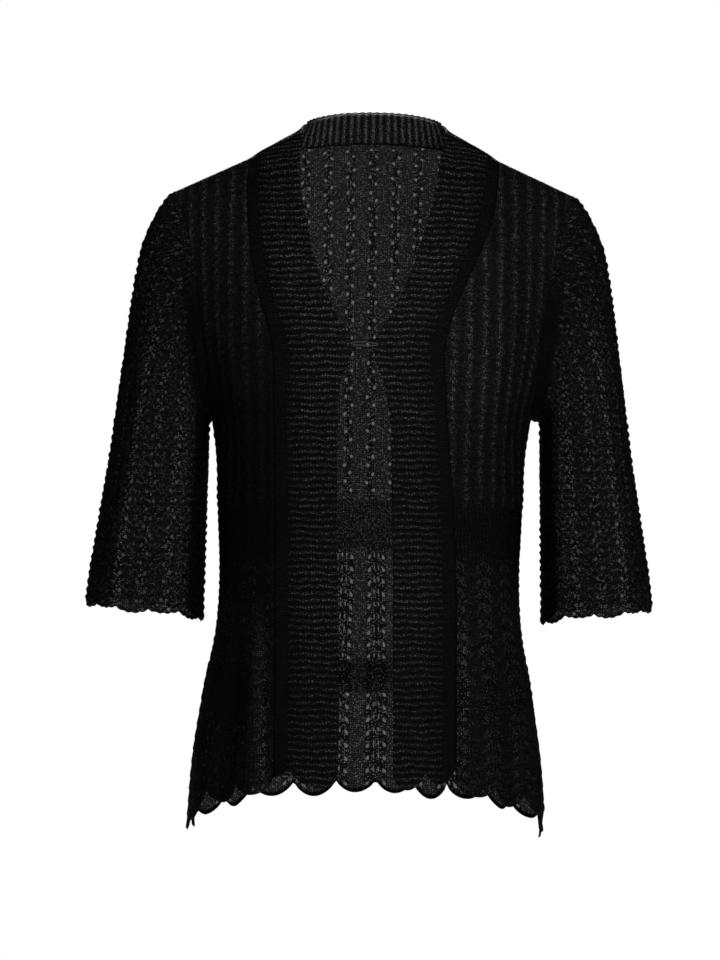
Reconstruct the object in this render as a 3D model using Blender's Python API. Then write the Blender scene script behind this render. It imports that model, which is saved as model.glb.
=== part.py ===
"""An open lace-knit cardigan with elbow sleeves, filled out as if worn.

Millimetres in the sizes below, metres in the meshes. +Z is up, the front faces -Y, and the origin lies
midway between the two ends of the shoulder seams at the neck. "left" and "right" are the wearer's: the
left front lies on the +X side.
"""

from math import asin, cos, pi, sin

import bpy
from mathutils import Vector

MM = 0.001

# Cloth
WALL = 2.0
SEAM_GAP = 0.3
BAND_GAP = 0.6
SLEEVE_GAP = 0.35
LACE_RIDGE = 0.7
SECTION_POWER = 2.35

# Landmarks of the body that the cloth follows
SIDE_Y = 5.0
SHOULDER_X = 187.0
SHOULDER_Z = -31.0
NECK_X = 119.0
SHOULDER_SLOPE = 0.46
RIDGE_ROUND = 90.0
BACK_NECK_RISE = 20.5
UNDERARM_Z = -245.0
SKIRT_END_Z = -570.0
FRONT_ROUND = 210.0
BACK_ROUND = 125.0
LEAN = 0.0115

# Half width of the body at the side seam: height, half_width
BODY_WIDTH = (
    (60.0, 206.0),
    (-31.0, 205.0),
    (-98.0, 196.0),
    (-161.0, 183.0),
    (-212.0, 164.0),
    (-245.0, 151.0),
    (-285.0, 145.5),
    (-342.0, 143.5),
    (-390.0, 141.5),
    (-425.0, 142.5),
    (-456.0, 146.0),
    (-490.0, 153.0),
    (-525.0, 158.5),
    (-570.0, 164.0),
    (-640.0, 169.0),
)
# Depth of the cloth in front of and behind the side seam: height, front, back
BODY_DEPTH = (
    (60.0, 96.0, 100.0),
    (-31.0, 104.0, 104.0),
    (-120.0, 122.0, 102.0),
    (-185.0, 131.0, 97.0),
    (-245.0, 121.0, 90.0),
    (-300.0, 106.0, 80.0),
    (-345.0, 98.0, 75.0),
    (-400.0, 101.0, 82.0),
    (-460.0, 110.0, 96.0),
    (-530.0, 119.0, 108.0),
    (-640.0, 130.0, 117.0),
)
# Edge of the armhole: height, distance from the middle
ARMHOLE_EDGE = (
    (-31.0, 187.0),
    (-64.0, 177.0),
    (-98.0, 169.5),
    (-161.0, 159.0),
    (-212.0, 153.0),
    (-245.0, 151.0),
)
# Lowest tips of the hem round half the body: share of the way from front to back, height
HEM_TIPS = (
    (0.0, -590.0),
    (0.22, -594.0),
    (0.38, -610.0),
    (0.5, -634.0),
    (0.62, -630.0),
    (0.78, -618.0),
    (1.0, -612.0),
)
# Soft upright flutes of the skirt: share round from front to back, width of share, depth,
# on the right side, on the left side
FLUTES = (
    (0.21, 0.030, 5.0, 1, 1),
    (0.29, 0.026, -4.0, 1, 1),
    (0.37, 0.034, 6.0, 1, 0),
    (0.40, 0.030, 5.0, 0, 1),
    (0.47, 0.028, -4.5, 1, 1),
    (0.56, 0.036, 5.5, 1, 0),
    (0.61, 0.034, 4.5, 0, 1),
    (0.69, 0.030, -4.0, 1, 1),
    (0.78, 0.040, 5.0, 1, 1),
    (0.87, 0.034, -4.0, 0, 1),
    (0.91, 0.030, -3.5, 1, 0),
)
FLUTE_TOP = -400.0
FLUTE_FULL = -600.0

# The front band from hem to shoulder: seam_x, seam_z, edge_x, edge_z
BAND_RIGHT = (
    (86.0, -588.0, 28.0, -588.0),
    (87.0, -456.0, 28.0, -456.0),
    (88.0, -390.0, 30.0, -390.0),
    (89.0, -315.0, 31.5, -315.0),
    (90.0, -253.0, 31.5, -253.0),
    (90.5, -218.0, 29.5, -217.0),
    (91.5, -190.0, 18.5, -182.0),
    (96.0, -166.0, 34.0, -153.0),
    (103.0, -143.0, 46.0, -127.0),
    (110.0, -113.0, 56.0, -95.0),
    (116.5, -72.0, 65.5, -52.0),
    (119.5, -34.0, 71.0, -14.0),
)
BAND_LEFT = (
    (81.0, -588.0, 24.0, -588.0),
    (81.0, -456.0, 23.0, -456.0),
    (80.0, -390.0, 22.0, -390.0),
    (76.0, -315.0, 20.5, -315.0),
    (70.0, -253.0, 18.0, -253.0),
    (67.5, -218.0, 12.0, -217.0),
    (66.5, -190.0, 2.0, -182.0),
    (71.5, -166.0, 17.5, -153.0),
    (80.0, -142.0, 32.5, -121.0),
    (94.0, -108.0, 44.0, -86.0),
    (108.0, -71.0, 54.5, -50.0),
    (116.0, -33.0, 61.5, -12.0),
)
# The band behind the neck: seam_x, middle (x, y, z), free edge (x, y, z)
COLLAR = (
    (119.0, (93.5, 5.0, 13.5), (67.5, 6.0, 25.0)),
    (99.0, (81.0, 31.0, 22.5), (69.0, 44.0, 34.0)),
    (66.0, (61.0, 62.0, 35.0), (59.0, 85.0, 46.0)),
    (33.0, (32.0, 82.0, 43.0), (32.0, 107.0, 55.0)),
    (0.0, (0.0, 89.0, 45.0), (0.0, 115.0, 58.0)),
)
BAND_HEM = 22.0
RIB_PITCH = 6.2
RIB_HEIGHT = 1.0
STRIP_SHARE = 0.21
STRIP_STEP = 0.03

# Knitting repeats and edges
FRONT_COLUMNS = 6
BACK_COLUMNS = 9
BACK_NECK_COLUMNS = 6
SLEEVE_COLUMNS = 16
BAND_LOBES = 1.5
LOBE_DEPTH = 14.0
LOBE_ROUND = 0.6
# How much lower each lobe of a front hangs, from the band to the side seam
RIGHT_LOBE_DROPS = (0.0, 3.0, 12.0, 3.0)
LEFT_LOBE_DROPS = (0.0, 5.0, 2.0, 10.0)
BACK_LOBE_DROPS = (4.0, 0.0, 2.0, 0.0, 3.0, 0.0, 0.0, 2.0, 0.0, 3.0, 0.0, 5.0)
POINTS_PER_LOBE = 6
SKIRT_ROWS = 11
ARMHOLE_ROWS = 8

# Sleeve: outer line from the shoulder: height, distance from the middle
SLEEVE_OUTER = (
    (-31.0, 187.0),
    (-36.0, 194.0),
    (-46.0, 201.5),
    (-58.0, 208.0),
    (-77.0, 216.0),
    (-96.0, 221.0),
    (-133.0, 227.0),
    (-171.0, 232.0),
    (-209.0, 237.0),
    (-247.0, 242.0),
    (-285.0, 247.0),
    (-323.0, 253.0),
    (-361.0, 259.0),
    (-399.0, 265.0),
    (-440.0, 269.0),
)
# The sleeve's line beside the body: at the underarm, at the cuff, and how far down it turns there
SLEEVE_INNER_RIGHT = (155.4, 158.5, 16.0)
SLEEVE_INNER_LEFT = (162.0, 165.0, 4.0)
ARMHOLE_DEPTH = 56.0
SLEEVE_DEPTH = 60.0
CUFF_DEPTH = 67.0
CUFF_Z = -418.0
CUFF_LOBES = 11
CUFF_LOBE_DEPTH = 8.0
CUFF_EDGE = 6.0
CUFF_SLOPE = 4.0
CUFF_CORNER = 7.0
CUFF_FORWARD = 4.0
CAP_CROWDING = 1.35
CAP_RINGS = 7
ARM_RINGS = 6

# Fastening
HOOK_Z = -182.0
HOOK_WIRE = 1.2
HOOK_BEND = 2.4
HOOK_LEG = 5.5
HOOK_STEPS = 12
THREAD = 1.1
LOOP_SPREAD = 1.6
LOOP_SEWN = 3.0
LOOP_POINTS = 28

COLOURS = {
    "cloth": ((0.012, 0.012, 0.013, 1.0), 0.82, 0.0),
    "thread": ((0.010, 0.010, 0.011, 1.0), 0.7, 0.0),
    "wire": ((0.03, 0.03, 0.032, 1.0), 0.35, 1.0),
}


def clear_scene():
    for thing in list(bpy.data.objects):
        bpy.data.objects.remove(thing, do_unlink=True)


def principled(name, kind):
    colour, roughness, metallic = COLOURS[kind]
    material = bpy.data.materials.new(name)
    material.use_nodes = True
    shader = material.node_tree.nodes["Principled BSDF"]
    shader.inputs["Base Color"].default_value = colour
    shader.inputs["Roughness"].default_value = roughness
    shader.inputs["Metallic"].default_value = metallic
    return material


def mix(a, b, share):
    return a + (b - a) * share


def leaned(point):
    """The whole garment hangs turned a little, with its left shoulder lower."""
    x, y, z = point
    return Vector((x + LEAN * z, y, z - LEAN * x))


def ease(share):
    share = min(1.0, max(0.0, share))
    return share * share * (3.0 - 2.0 * share)


def read_table(table, at, column=1):
    """The smooth curve through one column of a table whose first column runs either way."""
    rows = sorted(table)
    at = min(rows[-1][0], max(rows[0][0], at))
    i = 0
    while i < len(rows) - 2 and at > rows[i + 1][0]:
        i += 1

    def slope(k):
        low = max(k - 1, 0)
        high = min(k + 1, len(rows) - 1)
        return (rows[high][column] - rows[low][column]) / (rows[high][0] - rows[low][0])

    span = rows[i + 1][0] - rows[i][0]
    t = (at - rows[i][0]) / span
    return (
        rows[i][column] * (2 * t**3 - 3 * t**2 + 1)
        + slope(i) * span * (t**3 - 2 * t**2 + t)
        + rows[i + 1][column] * (3 * t**2 - 2 * t**3)
        + slope(i + 1) * span * (t**3 - t**2)
    )


# The body: a rounded section at each height, closed over the shoulders


def shoulder_z(x):
    """The ridge over the shoulders: straight along each seam, rounded behind the neck."""
    spread = abs(x)
    if spread < RIDGE_ROUND:
        spread = (x * x / RIDGE_ROUND + RIDGE_ROUND) / 2.0
    return SHOULDER_Z + (SHOULDER_X - spread) * SHOULDER_SLOPE


def body_depth(x, z, back):
    """How far the cloth stands from the side seam's plane, in the middle of the section."""
    below = shoulder_z(x) - z
    if back:
        share = min(1.0, max(0.0, below / BACK_ROUND))
        return read_table(BODY_DEPTH, z, 2) * (1.0 - (1.0 - share) ** 2) ** 0.5
    share = min(1.0, max(0.0, below / FRONT_ROUND))
    return read_table(BODY_DEPTH, z, 1) * (1.0 - (1.0 - share) ** 1.6) ** 0.6


def section_angle(x, z):
    """0 at the middle of the section, a quarter turn at the side seam."""
    share = min(1.0, abs(x) / read_table(BODY_WIDTH, z))
    return asin(share ** (SECTION_POWER / 2.0))


def share_round(x, z, back):
    """0 at the middle of the front, 0.5 at the side seam, 1 at the middle of the back."""
    quarter = section_angle(x, z) / pi
    return 1.0 - quarter if back else quarter


def body_point(x, z, back):
    """A point of the cloth's middle surface, half the seam gap clear of the other panel's."""
    share = min(1.0, abs(x) / read_table(BODY_WIDTH, z))
    depth = body_depth(x, z, back) * (1.0 - share**SECTION_POWER) ** (1.0 / SECTION_POWER)
    out = SEAM_GAP / 2.0 + depth
    return Vector((x, SIDE_Y + out if back else SIDE_Y - out, z))


def body_normal(x, z, back):
    """The way out of the cloth, from how the section swells and shrinks around the point."""
    below = shoulder_z(x) - z
    if below < 1.0:
        return Vector((SHOULDER_SLOPE if x > 0 else -SHOULDER_SLOPE, 0.0, 1.0)).normalized()
    step = 0.5
    point = body_point(x, z, back)

    def level(px, py, pz):
        depth = max(1.0, body_depth(px, pz, back))
        wide = abs(px) / read_table(BODY_WIDTH, pz)
        return wide**SECTION_POWER + (abs(py - SIDE_Y) / depth) ** SECTION_POWER

    x, y, z = point
    slope = Vector(
        (
            level(x + step, y, z) - level(x - step, y, z),
            level(x, y + step, z) - level(x, y - step, z),
            level(x, y, z + step) - level(x, y, z - step),
        )
    )
    return slope.normalized()


def flute(x, z, back):
    """How far the skirt's flutes push the cloth out or in here."""
    fall = ease((FLUTE_TOP - z) / (FLUTE_TOP - FLUTE_FULL))
    around = share_round(x, z, back)
    total = 0.0
    for middle, width, depth, on_right, on_left in FLUTES:
        if on_right if x < 0 else on_left:
            total += depth * max(0.0, cos(min(1.0, abs(around - middle) / (2.0 * width)) * pi / 2.0)) ** 2
    return total * fall


def cloth(x, z, back, lift):
    """A point of a panel's outer or inner face, lifted from the cloth's middle."""
    return body_point(x, z, back) + body_normal(x, z, back) * (flute(x, z, back) + lift)


def hem_tips(angle, back):
    around = 1.0 - angle / pi if back else angle / pi
    return read_table(HEM_TIPS, around)


def lobe_shape(place):
    """1 at a lobe's tip and 0 at the notches beside it. Each lobe is one step of place."""
    return abs(sin(pi * place)) ** LOBE_ROUND


def hem_z(angle, back, drops, share):
    """The hem's edge: its tips' height, cut back at the notches between the lobes."""
    place = share * len(drops)
    drop = drops[min(len(drops) - 1, int(place))]
    return hem_tips(angle, back) + LOBE_DEPTH - (LOBE_DEPTH + drop) * lobe_shape(place)


# Walls


def zip_rows(faces, lower, upper, turned=False):
    """Triangles between two rows of (place, vertex), which may have different numbers of points."""
    i = 0
    j = 0
    while i < len(lower) - 1 or j < len(upper) - 1:
        ahead_lower = lower[i + 1][0] if i < len(lower) - 1 else 1e9
        ahead_upper = upper[j + 1][0] if j < len(upper) - 1 else 1e9
        if ahead_lower <= ahead_upper:
            face = (lower[i][1], lower[i + 1][1], upper[j][1])
            i += 1
        else:
            face = (lower[i][1], upper[j + 1][1], upper[j][1])
            j += 1
        faces.append(face[::-1] if turned else face)


def build_wall(name, outer, inner, kind, ring=False):
    """One closed wall. Each side is a list of rows (height share, [(place, point), ...])."""
    points = []

    def numbered(rows):
        found = []
        for height, row in rows:
            indexed = []
            for place, point in row:
                indexed.append((place, len(points)))
                points.append(leaned(point) * MM)
            if ring:
                indexed.append((indexed[0][0] + 1.0, indexed[0][1]))
            found.append((height, indexed))
        return found

    outside = numbered(outer)
    inside = numbered(inner)
    faces = []
    for lower, upper in zip(outside, outside[1:]):
        zip_rows(faces, lower[1], upper[1])
    for lower, upper in zip(inside, inside[1:]):
        zip_rows(faces, lower[1], upper[1], turned=True)
    zip_rows(faces, inside[0][1], outside[0][1])
    zip_rows(faces, outside[-1][1], inside[-1][1])
    if not ring:
        first_out = [(height, row[0][1]) for height, row in outside]
        first_in = [(height, row[0][1]) for height, row in inside]
        last_out = [(height, row[-1][1]) for height, row in outside]
        last_in = [(height, row[-1][1]) for height, row in inside]
        zip_rows(faces, first_out, first_in)
        zip_rows(faces, last_in, last_out)
    mesh = bpy.data.meshes.new(name)
    mesh.from_pydata(points, [], faces)
    mesh.validate()
    mesh.materials.append(principled(name, kind))
    piece = bpy.data.objects.new(name, mesh)
    bpy.context.scene.collection.objects.link(piece)
    return piece


# Front and back panels


def armhole_turn(row):
    """Rows above the underarm follow the armhole: half a turn at the underarm, none at the shoulder."""
    return pi * (1.0 - row / ARMHOLE_ROWS)


def rise_share(row):
    return (1.0 + cos(armhole_turn(row))) / 2.0


def armhole_z(row):
    return mix(UNDERARM_Z, SHOULDER_Z, rise_share(row))


def armhole_x(row):
    return read_table(ARMHOLE_EDGE, armhole_z(row))


def neck_edge_z(x):
    """The top of the back panel: the shoulder seams, and the neck's edge between them."""
    if abs(x) >= NECK_X:
        return shoulder_z(x)
    share = sin(pi / 2.0 * (1.0 - abs(x) / NECK_X)) ** 0.8
    return shoulder_z(NECK_X) + BACK_NECK_RISE * share


def seam_x(z, side):
    """The line where a front is joined to the band."""
    rows = [(row[1], row[0]) for row in (BAND_LEFT if side > 0 else BAND_RIGHT)]
    rows.append((shoulder_z(NECK_X), NECK_X))
    return read_table(rows, z)


def upper_z(x, row, back):
    """The height of a row above the underarm, at a distance x from the middle."""
    spread = abs(x) * SHOULDER_X / armhole_x(row)
    top = neck_edge_z(spread) if back else shoulder_z(spread)
    return mix(UNDERARM_Z, top, rise_share(row))


def section_x(angle, z):
    return read_table(BODY_WIDTH, z) * sin(angle) ** (2.0 / SECTION_POWER)


def skirt_z(angle, back, row):
    """A row below the underarm, the lowest of them just above the hem's notches."""
    return mix(UNDERARM_Z, hem_tips(angle, back) + 1.6 * LOBE_DEPTH, -row / SKIRT_ROWS)


def front_angle(share, row, side):
    """Across a front below the underarm, from the band's seam to the side seam."""
    z = mix(UNDERARM_Z, SKIRT_END_Z, -row / SKIRT_ROWS)
    return mix(section_angle(seam_x(z, side), z), pi / 2.0, share)


def front_place(share, row, side):
    """(x, z) of a front's point. Rows run from -SKIRT_ROWS at the hem to ARMHOLE_ROWS at the shoulder."""
    if row <= 0:
        angle = front_angle(share, row, side)
        z = skirt_z(angle, False, row)
        return section_x(angle, z) * side, z
    x_in = seam_x(mix(UNDERARM_Z, shoulder_z(NECK_X), rise_share(row)), side)
    x_out = armhole_x(row)
    z = armhole_z(row)
    by_angle = section_x(mix(section_angle(x_in, z), section_angle(x_out, z), share), z)
    x = mix(by_angle, mix(x_in, x_out, share), rise_share(row))
    return x * side, upper_z(x, row, False)


def back_place(share, row):
    """(x, z) of the back's point. share runs from 1 at the left side seam to -1 at the right."""
    side = 1.0 if share >= 0 else -1.0
    share = abs(share)
    if row <= 0:
        z = skirt_z(share * pi / 2.0, True, row)
        return section_x(share * pi / 2.0, z) * side, z
    z = armhole_z(row)
    x_out = armhole_x(row)
    by_angle = section_x(share * section_angle(x_out, z), z)
    neck_share = BACK_NECK_COLUMNS / BACK_COLUMNS
    if share <= neck_share:
        top = NECK_X * share / neck_share
    else:
        top = mix(NECK_X, SHOULDER_X, (share - neck_share) / (1.0 - neck_share))
    x = mix(by_angle, top * x_out / SHOULDER_X, rise_share(row))
    return x * side, upper_z(x, row, True)


def front_hem(share, side):
    angle = front_angle(share, -SKIRT_ROWS, side)
    z = hem_z(angle, False, LEFT_LOBE_DROPS if side > 0 else RIGHT_LOBE_DROPS, share)
    return section_x(angle, z) * side, z


def back_hem(share, place):
    angle = abs(share) * pi / 2.0
    z = hem_z(angle, True, BACK_LOBE_DROPS, place)
    return section_x(angle, z) * (1.0 if share >= 0 else -1.0), z


def ridge(index, count):
    """The raised line of a lace column, level with the wall at the panel's own edges."""
    return LACE_RIDGE if index % 2 and 0 < index < count else 0.0


def front_rows(side, lift, columns):
    """A front's rows, hem first. lift is half the wall, negative for the inner face."""
    raised = lift > 0
    rows = []
    hem = []
    count = len(RIGHT_LOBE_DROPS) * POINTS_PER_LOBE
    for i in range(count + 1):
        x, z = front_hem(i / count, side)
        hem.append((i / count, cloth(x, z, False, lift)))
    rows.append((-SKIRT_ROWS - 1.0, hem))
    for row in range(-SKIRT_ROWS, ARMHOLE_ROWS + 1):
        points = []
        full = row == ARMHOLE_ROWS
        count = 2 * FRONT_COLUMNS if full else columns
        for i in range(count + 1):
            x, z = front_place(i / count, row, side)
            height = lift + (ridge(i, count) if raised and not full else 0.0)
            points.append((i / count, cloth(x, z, False, height)))
        rows.append((float(row), points))
    if side < 0:
        rows = [(height, [(1.0 - place, point) for place, point in row[::-1]]) for height, row in rows]
    return rows


def make_front(name, side):
    half = WALL / 2.0
    outer = front_rows(side, half, 2 * FRONT_COLUMNS)
    inner = front_rows(side, -half, FRONT_COLUMNS)
    return build_wall(name, outer, inner, "cloth")


def back_rows(lift, columns):
    """The back's rows. Seen from behind, +X is on the left, so places run from +X to -X."""
    raised = lift > 0
    rows = []
    hem = []
    count = len(BACK_LOBE_DROPS) * POINTS_PER_LOBE
    for i in range(count + 1):
        x, z = back_hem(1.0 - 2.0 * i / count, i / count)
        hem.append((i / count, cloth(x, z, True, lift)))
    rows.append((-SKIRT_ROWS - 1.0, hem))
    for row in range(-SKIRT_ROWS, ARMHOLE_ROWS + 1):
        points = []
        full = row == ARMHOLE_ROWS
        count = 4 * BACK_COLUMNS if full else 2 * columns
        for i in range(count + 1):
            x, z = back_place(1.0 - 2.0 * i / count, row)
            height = lift + (ridge(i, count) if raised and not full else 0.0)
            points.append((i / count, cloth(x, z, True, height)))
        rows.append((float(row), points))
    return rows


def make_back():
    half = WALL / 2.0
    outer = back_rows(half, 2 * BACK_COLUMNS)
    inner = back_rows(-half, BACK_COLUMNS)
    return build_wall("back", outer, inner, "cloth")


# Sleeves


def armhole_ring():
    """The armhole's corners, down the front and up the back, each with the way out of the cloth."""
    ring = []
    for step in range(2 * ARMHOLE_ROWS):
        back = step > ARMHOLE_ROWS
        row = ARMHOLE_ROWS - step if not back else step - ARMHOLE_ROWS
        x = armhole_x(row)
        z = armhole_z(row)
        point = body_point(x, z, back)
        if row in (0, ARMHOLE_ROWS):
            point.y = SIDE_Y
        ring.append((point, body_normal(x, z, back)))
    return ring


def ring_corner(ring, turn):
    """A point on the armhole's straight stretches between its corners. turn runs from 0 to 1."""
    place = turn * len(ring)
    low = int(place) % len(ring)
    share = place - int(place)
    here, normal = ring[low]
    there, other = ring[(low + 1) % len(ring)]
    return here.lerp(there, share), normal.lerp(other, share).normalized()


def away_from_panel(ring, turn):
    """Along the panel's surface, square to the armhole's edge, into the armhole."""
    step = 0.5 / len(ring)
    before, _ = ring_corner(ring, (turn - step) % 1.0)
    after, _ = ring_corner(ring, (turn + step) % 1.0)
    here, normal = ring_corner(ring, turn)
    way = (after - before).cross(normal).normalized()
    middle = Vector((SLEEVE_OUTER[-1][1], SIDE_Y, (UNDERARM_Z + SHOULDER_Z) / 2.0))
    return way if way.dot(middle - here) > 0 else -way


def sleeve_lines(inner_line, along):
    """The sleeve's outer and inner line at a place along it: 0 armhole, 1 underarm level, 2 cuff."""
    turn_down = inner_line[2]
    if along <= 1.0:
        outer_z = mix(SHOULDER_Z, UNDERARM_Z - turn_down, along**CAP_CROWDING)
        inner_x = mix(inner_line[0], armhole_x(0), (1.0 - along) ** 2)
        inner_z = UNDERARM_Z - turn_down * along**2
    else:
        share = along - 1.0
        outer_z = mix(UNDERARM_Z - turn_down, CUFF_Z, share)
        inner_x = mix(inner_line[0], inner_line[1], share)
        inner_z = mix(UNDERARM_Z - turn_down, CUFF_Z, share)
    outer_x = read_table(SLEEVE_OUTER, outer_z)
    return Vector((outer_x, SIDE_Y, outer_z)), Vector((inner_x, SIDE_Y, inner_z))


class Sleeve:
    """A sleeve's middle surface: along it from the armhole to the cuff, and a turn round it from its top."""

    def __init__(self, inner_line):
        self.ring = armhole_ring()
        self.inner_line = inner_line

    def oval(self, along, turn):
        outer, inner = sleeve_lines(self.inner_line, along)
        if along <= 1.0:
            depth = mix(ARMHOLE_DEPTH, SLEEVE_DEPTH, along)
        else:
            depth = mix(SLEEVE_DEPTH, CUFF_DEPTH, along - 1.0)
        point = (outer + inner) / 2.0 + (outer - inner) / 2.0 * cos(2.0 * pi * turn)
        point.y -= CUFF_FORWARD * max(0.0, along - 1.0) + depth * sin(2.0 * pi * turn)
        return point

    def point(self, along, turn):
        """Starts at the armhole's own edge, and is an even oval from the underarm down."""
        corner, _ = ring_corner(self.ring, turn)
        keep = max(0.0, 1.0 - along) ** 2
        return self.oval(along, turn) + (corner - self.oval(0.0, turn)) * keep

    def normal(self, along, turn):
        step = 0.01
        low = max(0.0, along - step)
        high = min(2.0, along + step)
        down = self.point(high, turn) - self.point(low, turn)
        around = self.point(along, (turn + step) % 1.0) - self.point(along, (turn - step) % 1.0)
        return around.cross(down).normalized()

    def face(self, along, turn, lift, drop=0.0):
        """A point of the outer or inner face. At the armhole it lines up with the panels' own edges."""
        corner, edge_normal = ring_corner(self.ring, turn)
        if along == 0.0:
            return corner + away_from_panel(self.ring, turn) * SLEEVE_GAP + edge_normal * lift
        normal = edge_normal.lerp(self.normal(along, turn), ease(along * 3.0)).normalized()
        point = self.point(along, turn) + normal * lift
        point.z -= drop
        return point


def sleeve_rows(sleeve, lift, columns):
    """Rings from the cuff up to the armhole."""
    raised = lift > 0
    count = CUFF_LOBES * POINTS_PER_LOBE
    cuff = []
    for i in range(count):
        turn = i / count
        inward = -cos(2.0 * pi * turn)
        drop = CUFF_EDGE + CUFF_LOBE_DEPTH * lobe_shape(CUFF_LOBES * turn)
        drop += CUFF_SLOPE * inward + CUFF_CORNER * max(0.0, inward) ** 8
        cuff.append((turn, sleeve.face(2.0, turn, lift, drop)))
    rows = [(-1.0, cuff)]
    for number in range(ARM_RINGS + CAP_RINGS + 1):
        edge = number == ARM_RINGS + CAP_RINGS
        along = 2.0 - number / ARM_RINGS
        if number > ARM_RINGS:
            along = 0.0 if edge else 1.0 - (number - ARM_RINGS) / CAP_RINGS
        count = 2 * SLEEVE_COLUMNS if edge else columns
        points = []
        for i in range(count):
            height = lift + (ridge(i, count + 1) if raised and not edge else 0.0)
            points.append((i / count, sleeve.face(along, i / count, height)))
        rows.append((float(number), points))
    return rows


def on_right(rows):
    """The same rows on the right side of the body."""
    return [(height, [(place, Vector((-p.x, p.y, p.z))) for place, p in row]) for height, row in rows]


def turned_round(rows):
    """The same rows with their places counted the other way round."""
    turned = []
    for height, row in rows:
        other_way = [((1.0 - place) % 1.0, point) for place, point in row]
        other_way.sort(key=lambda entry: entry[0])
        turned.append((height, other_way))
    return turned


def make_sleeve(name, side):
    sleeve = Sleeve(SLEEVE_INNER_LEFT if side > 0 else SLEEVE_INNER_RIGHT)
    turn = turned_round if side > 0 else on_right
    outer = turn(sleeve_rows(sleeve, WALL / 2.0, 2 * SLEEVE_COLUMNS))
    inner = turn(sleeve_rows(sleeve, -WALL / 2.0, SLEEVE_COLUMNS))
    return build_wall(name, outer, inner, "cloth", ring=True)


# The front band, which runs up one front, round the neck and down the other


def straight_line(corners, place):
    last = len(corners) - 1
    place = min(float(last), max(0.0, place))
    i = min(last - 1, int(place))
    return corners[i].lerp(corners[i + 1], place - i)


def cloth_middle(x, z, back=False):
    return body_point(x, z, back) + body_normal(x, z, back) * flute(x, z, back)


def front_seam(side):
    """The places (x, z, back) of a front's edge at the band, hem first."""
    places = [(*front_hem(0.0, side), False)]
    for row in range(-SKIRT_ROWS, ARMHOLE_ROWS + 1):
        x, z = front_place(0.0, row, side)
        places.append((x, z, False))
    return places


def back_seam():
    """The places of the back's neck edge, from the right shoulder to the left."""
    places = []
    count = 4 * BACK_COLUMNS
    first = 2 * (BACK_COLUMNS - BACK_NECK_COLUMNS)
    for i in range(count - first, first - 1, -1):
        x, z = back_place(1.0 - 2.0 * i / count, ARMHOLE_ROWS)
        places.append((x, z, True))
    return places


def station_at(corners, z):
    """The place on a front's edge that lies at a height."""
    for i in range(len(corners) - 1):
        low = corners[i].z
        high = corners[i + 1].z
        if low <= z <= high:
            return i + (z - low) / (high - low)
    return 0.0 if z < corners[0].z else float(len(corners) - 1)


def band_stations():
    """Seam, middle and free edge of the band at each station, from the right hem to the left hem."""
    right_places = front_seam(-1.0)
    left_places = front_seam(1.0)
    neck_places = back_seam()
    places = right_places[:-1] + neck_places + left_places[-2::-1]
    seam_line = [cloth_middle(*place) for place in places]
    normals = [body_normal(*place) for place in places]
    right_seam = [cloth_middle(*place) for place in right_places]
    left_seam = [cloth_middle(*place) for place in left_places]
    neck_start = len(right_seam) - 1
    stations = []
    for table, side, seam in ((BAND_RIGHT, -1.0, right_seam), (BAND_LEFT, 1.0, left_seam)):
        found = []
        for row_x, row_z, edge_x, edge_z in table:
            place = station_at(seam, row_z)
            at = straight_line(seam, place)
            edge = cloth_middle(edge_x * side, edge_z)
            middle = cloth_middle((at.x + edge.x) / 2.0, (at.z + edge_z) / 2.0)
            if side > 0:
                place = len(seam_line) - 1 - place
            found.append((place, middle, edge))
        stations.append(found)
    neck = []
    half = len(neck_places) // 2
    for side in (-1.0, 1.0):
        for x, middle, edge in COLLAR:
            if x == 0.0 and side > 0:
                continue
            index = half + side * half * x / NECK_X
            middle = Vector((middle[0] * side, middle[1], middle[2]))
            edge = Vector((edge[0] * side, edge[1], edge[2]))
            neck.append((neck_start + index, middle, edge))
    everything = stations[0] + neck + stations[1]
    everything.sort(key=lambda entry: entry[0])
    return seam_line, normals, everything, neck_start


def table_spline(stations, place, column):
    """A smooth curve of points at uneven places."""
    i = 0
    while i < len(stations) - 2 and place > stations[i + 1][0]:
        i += 1

    def slope(k):
        low = max(k - 1, 0)
        high = min(k + 1, len(stations) - 1)
        return (stations[high][column] - stations[low][column]) / (stations[high][0] - stations[low][0])

    span = stations[i + 1][0] - stations[i][0]
    t = min(1.0, max(0.0, (place - stations[i][0]) / span))
    return (
        stations[i][column] * (2 * t**3 - 3 * t**2 + 1)
        + slope(i) * (span * (t**3 - 2 * t**2 + t))
        + stations[i + 1][column] * (3 * t**2 - 2 * t**3)
        + slope(i + 1) * (span * (t**3 - t**2))
    )


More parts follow.
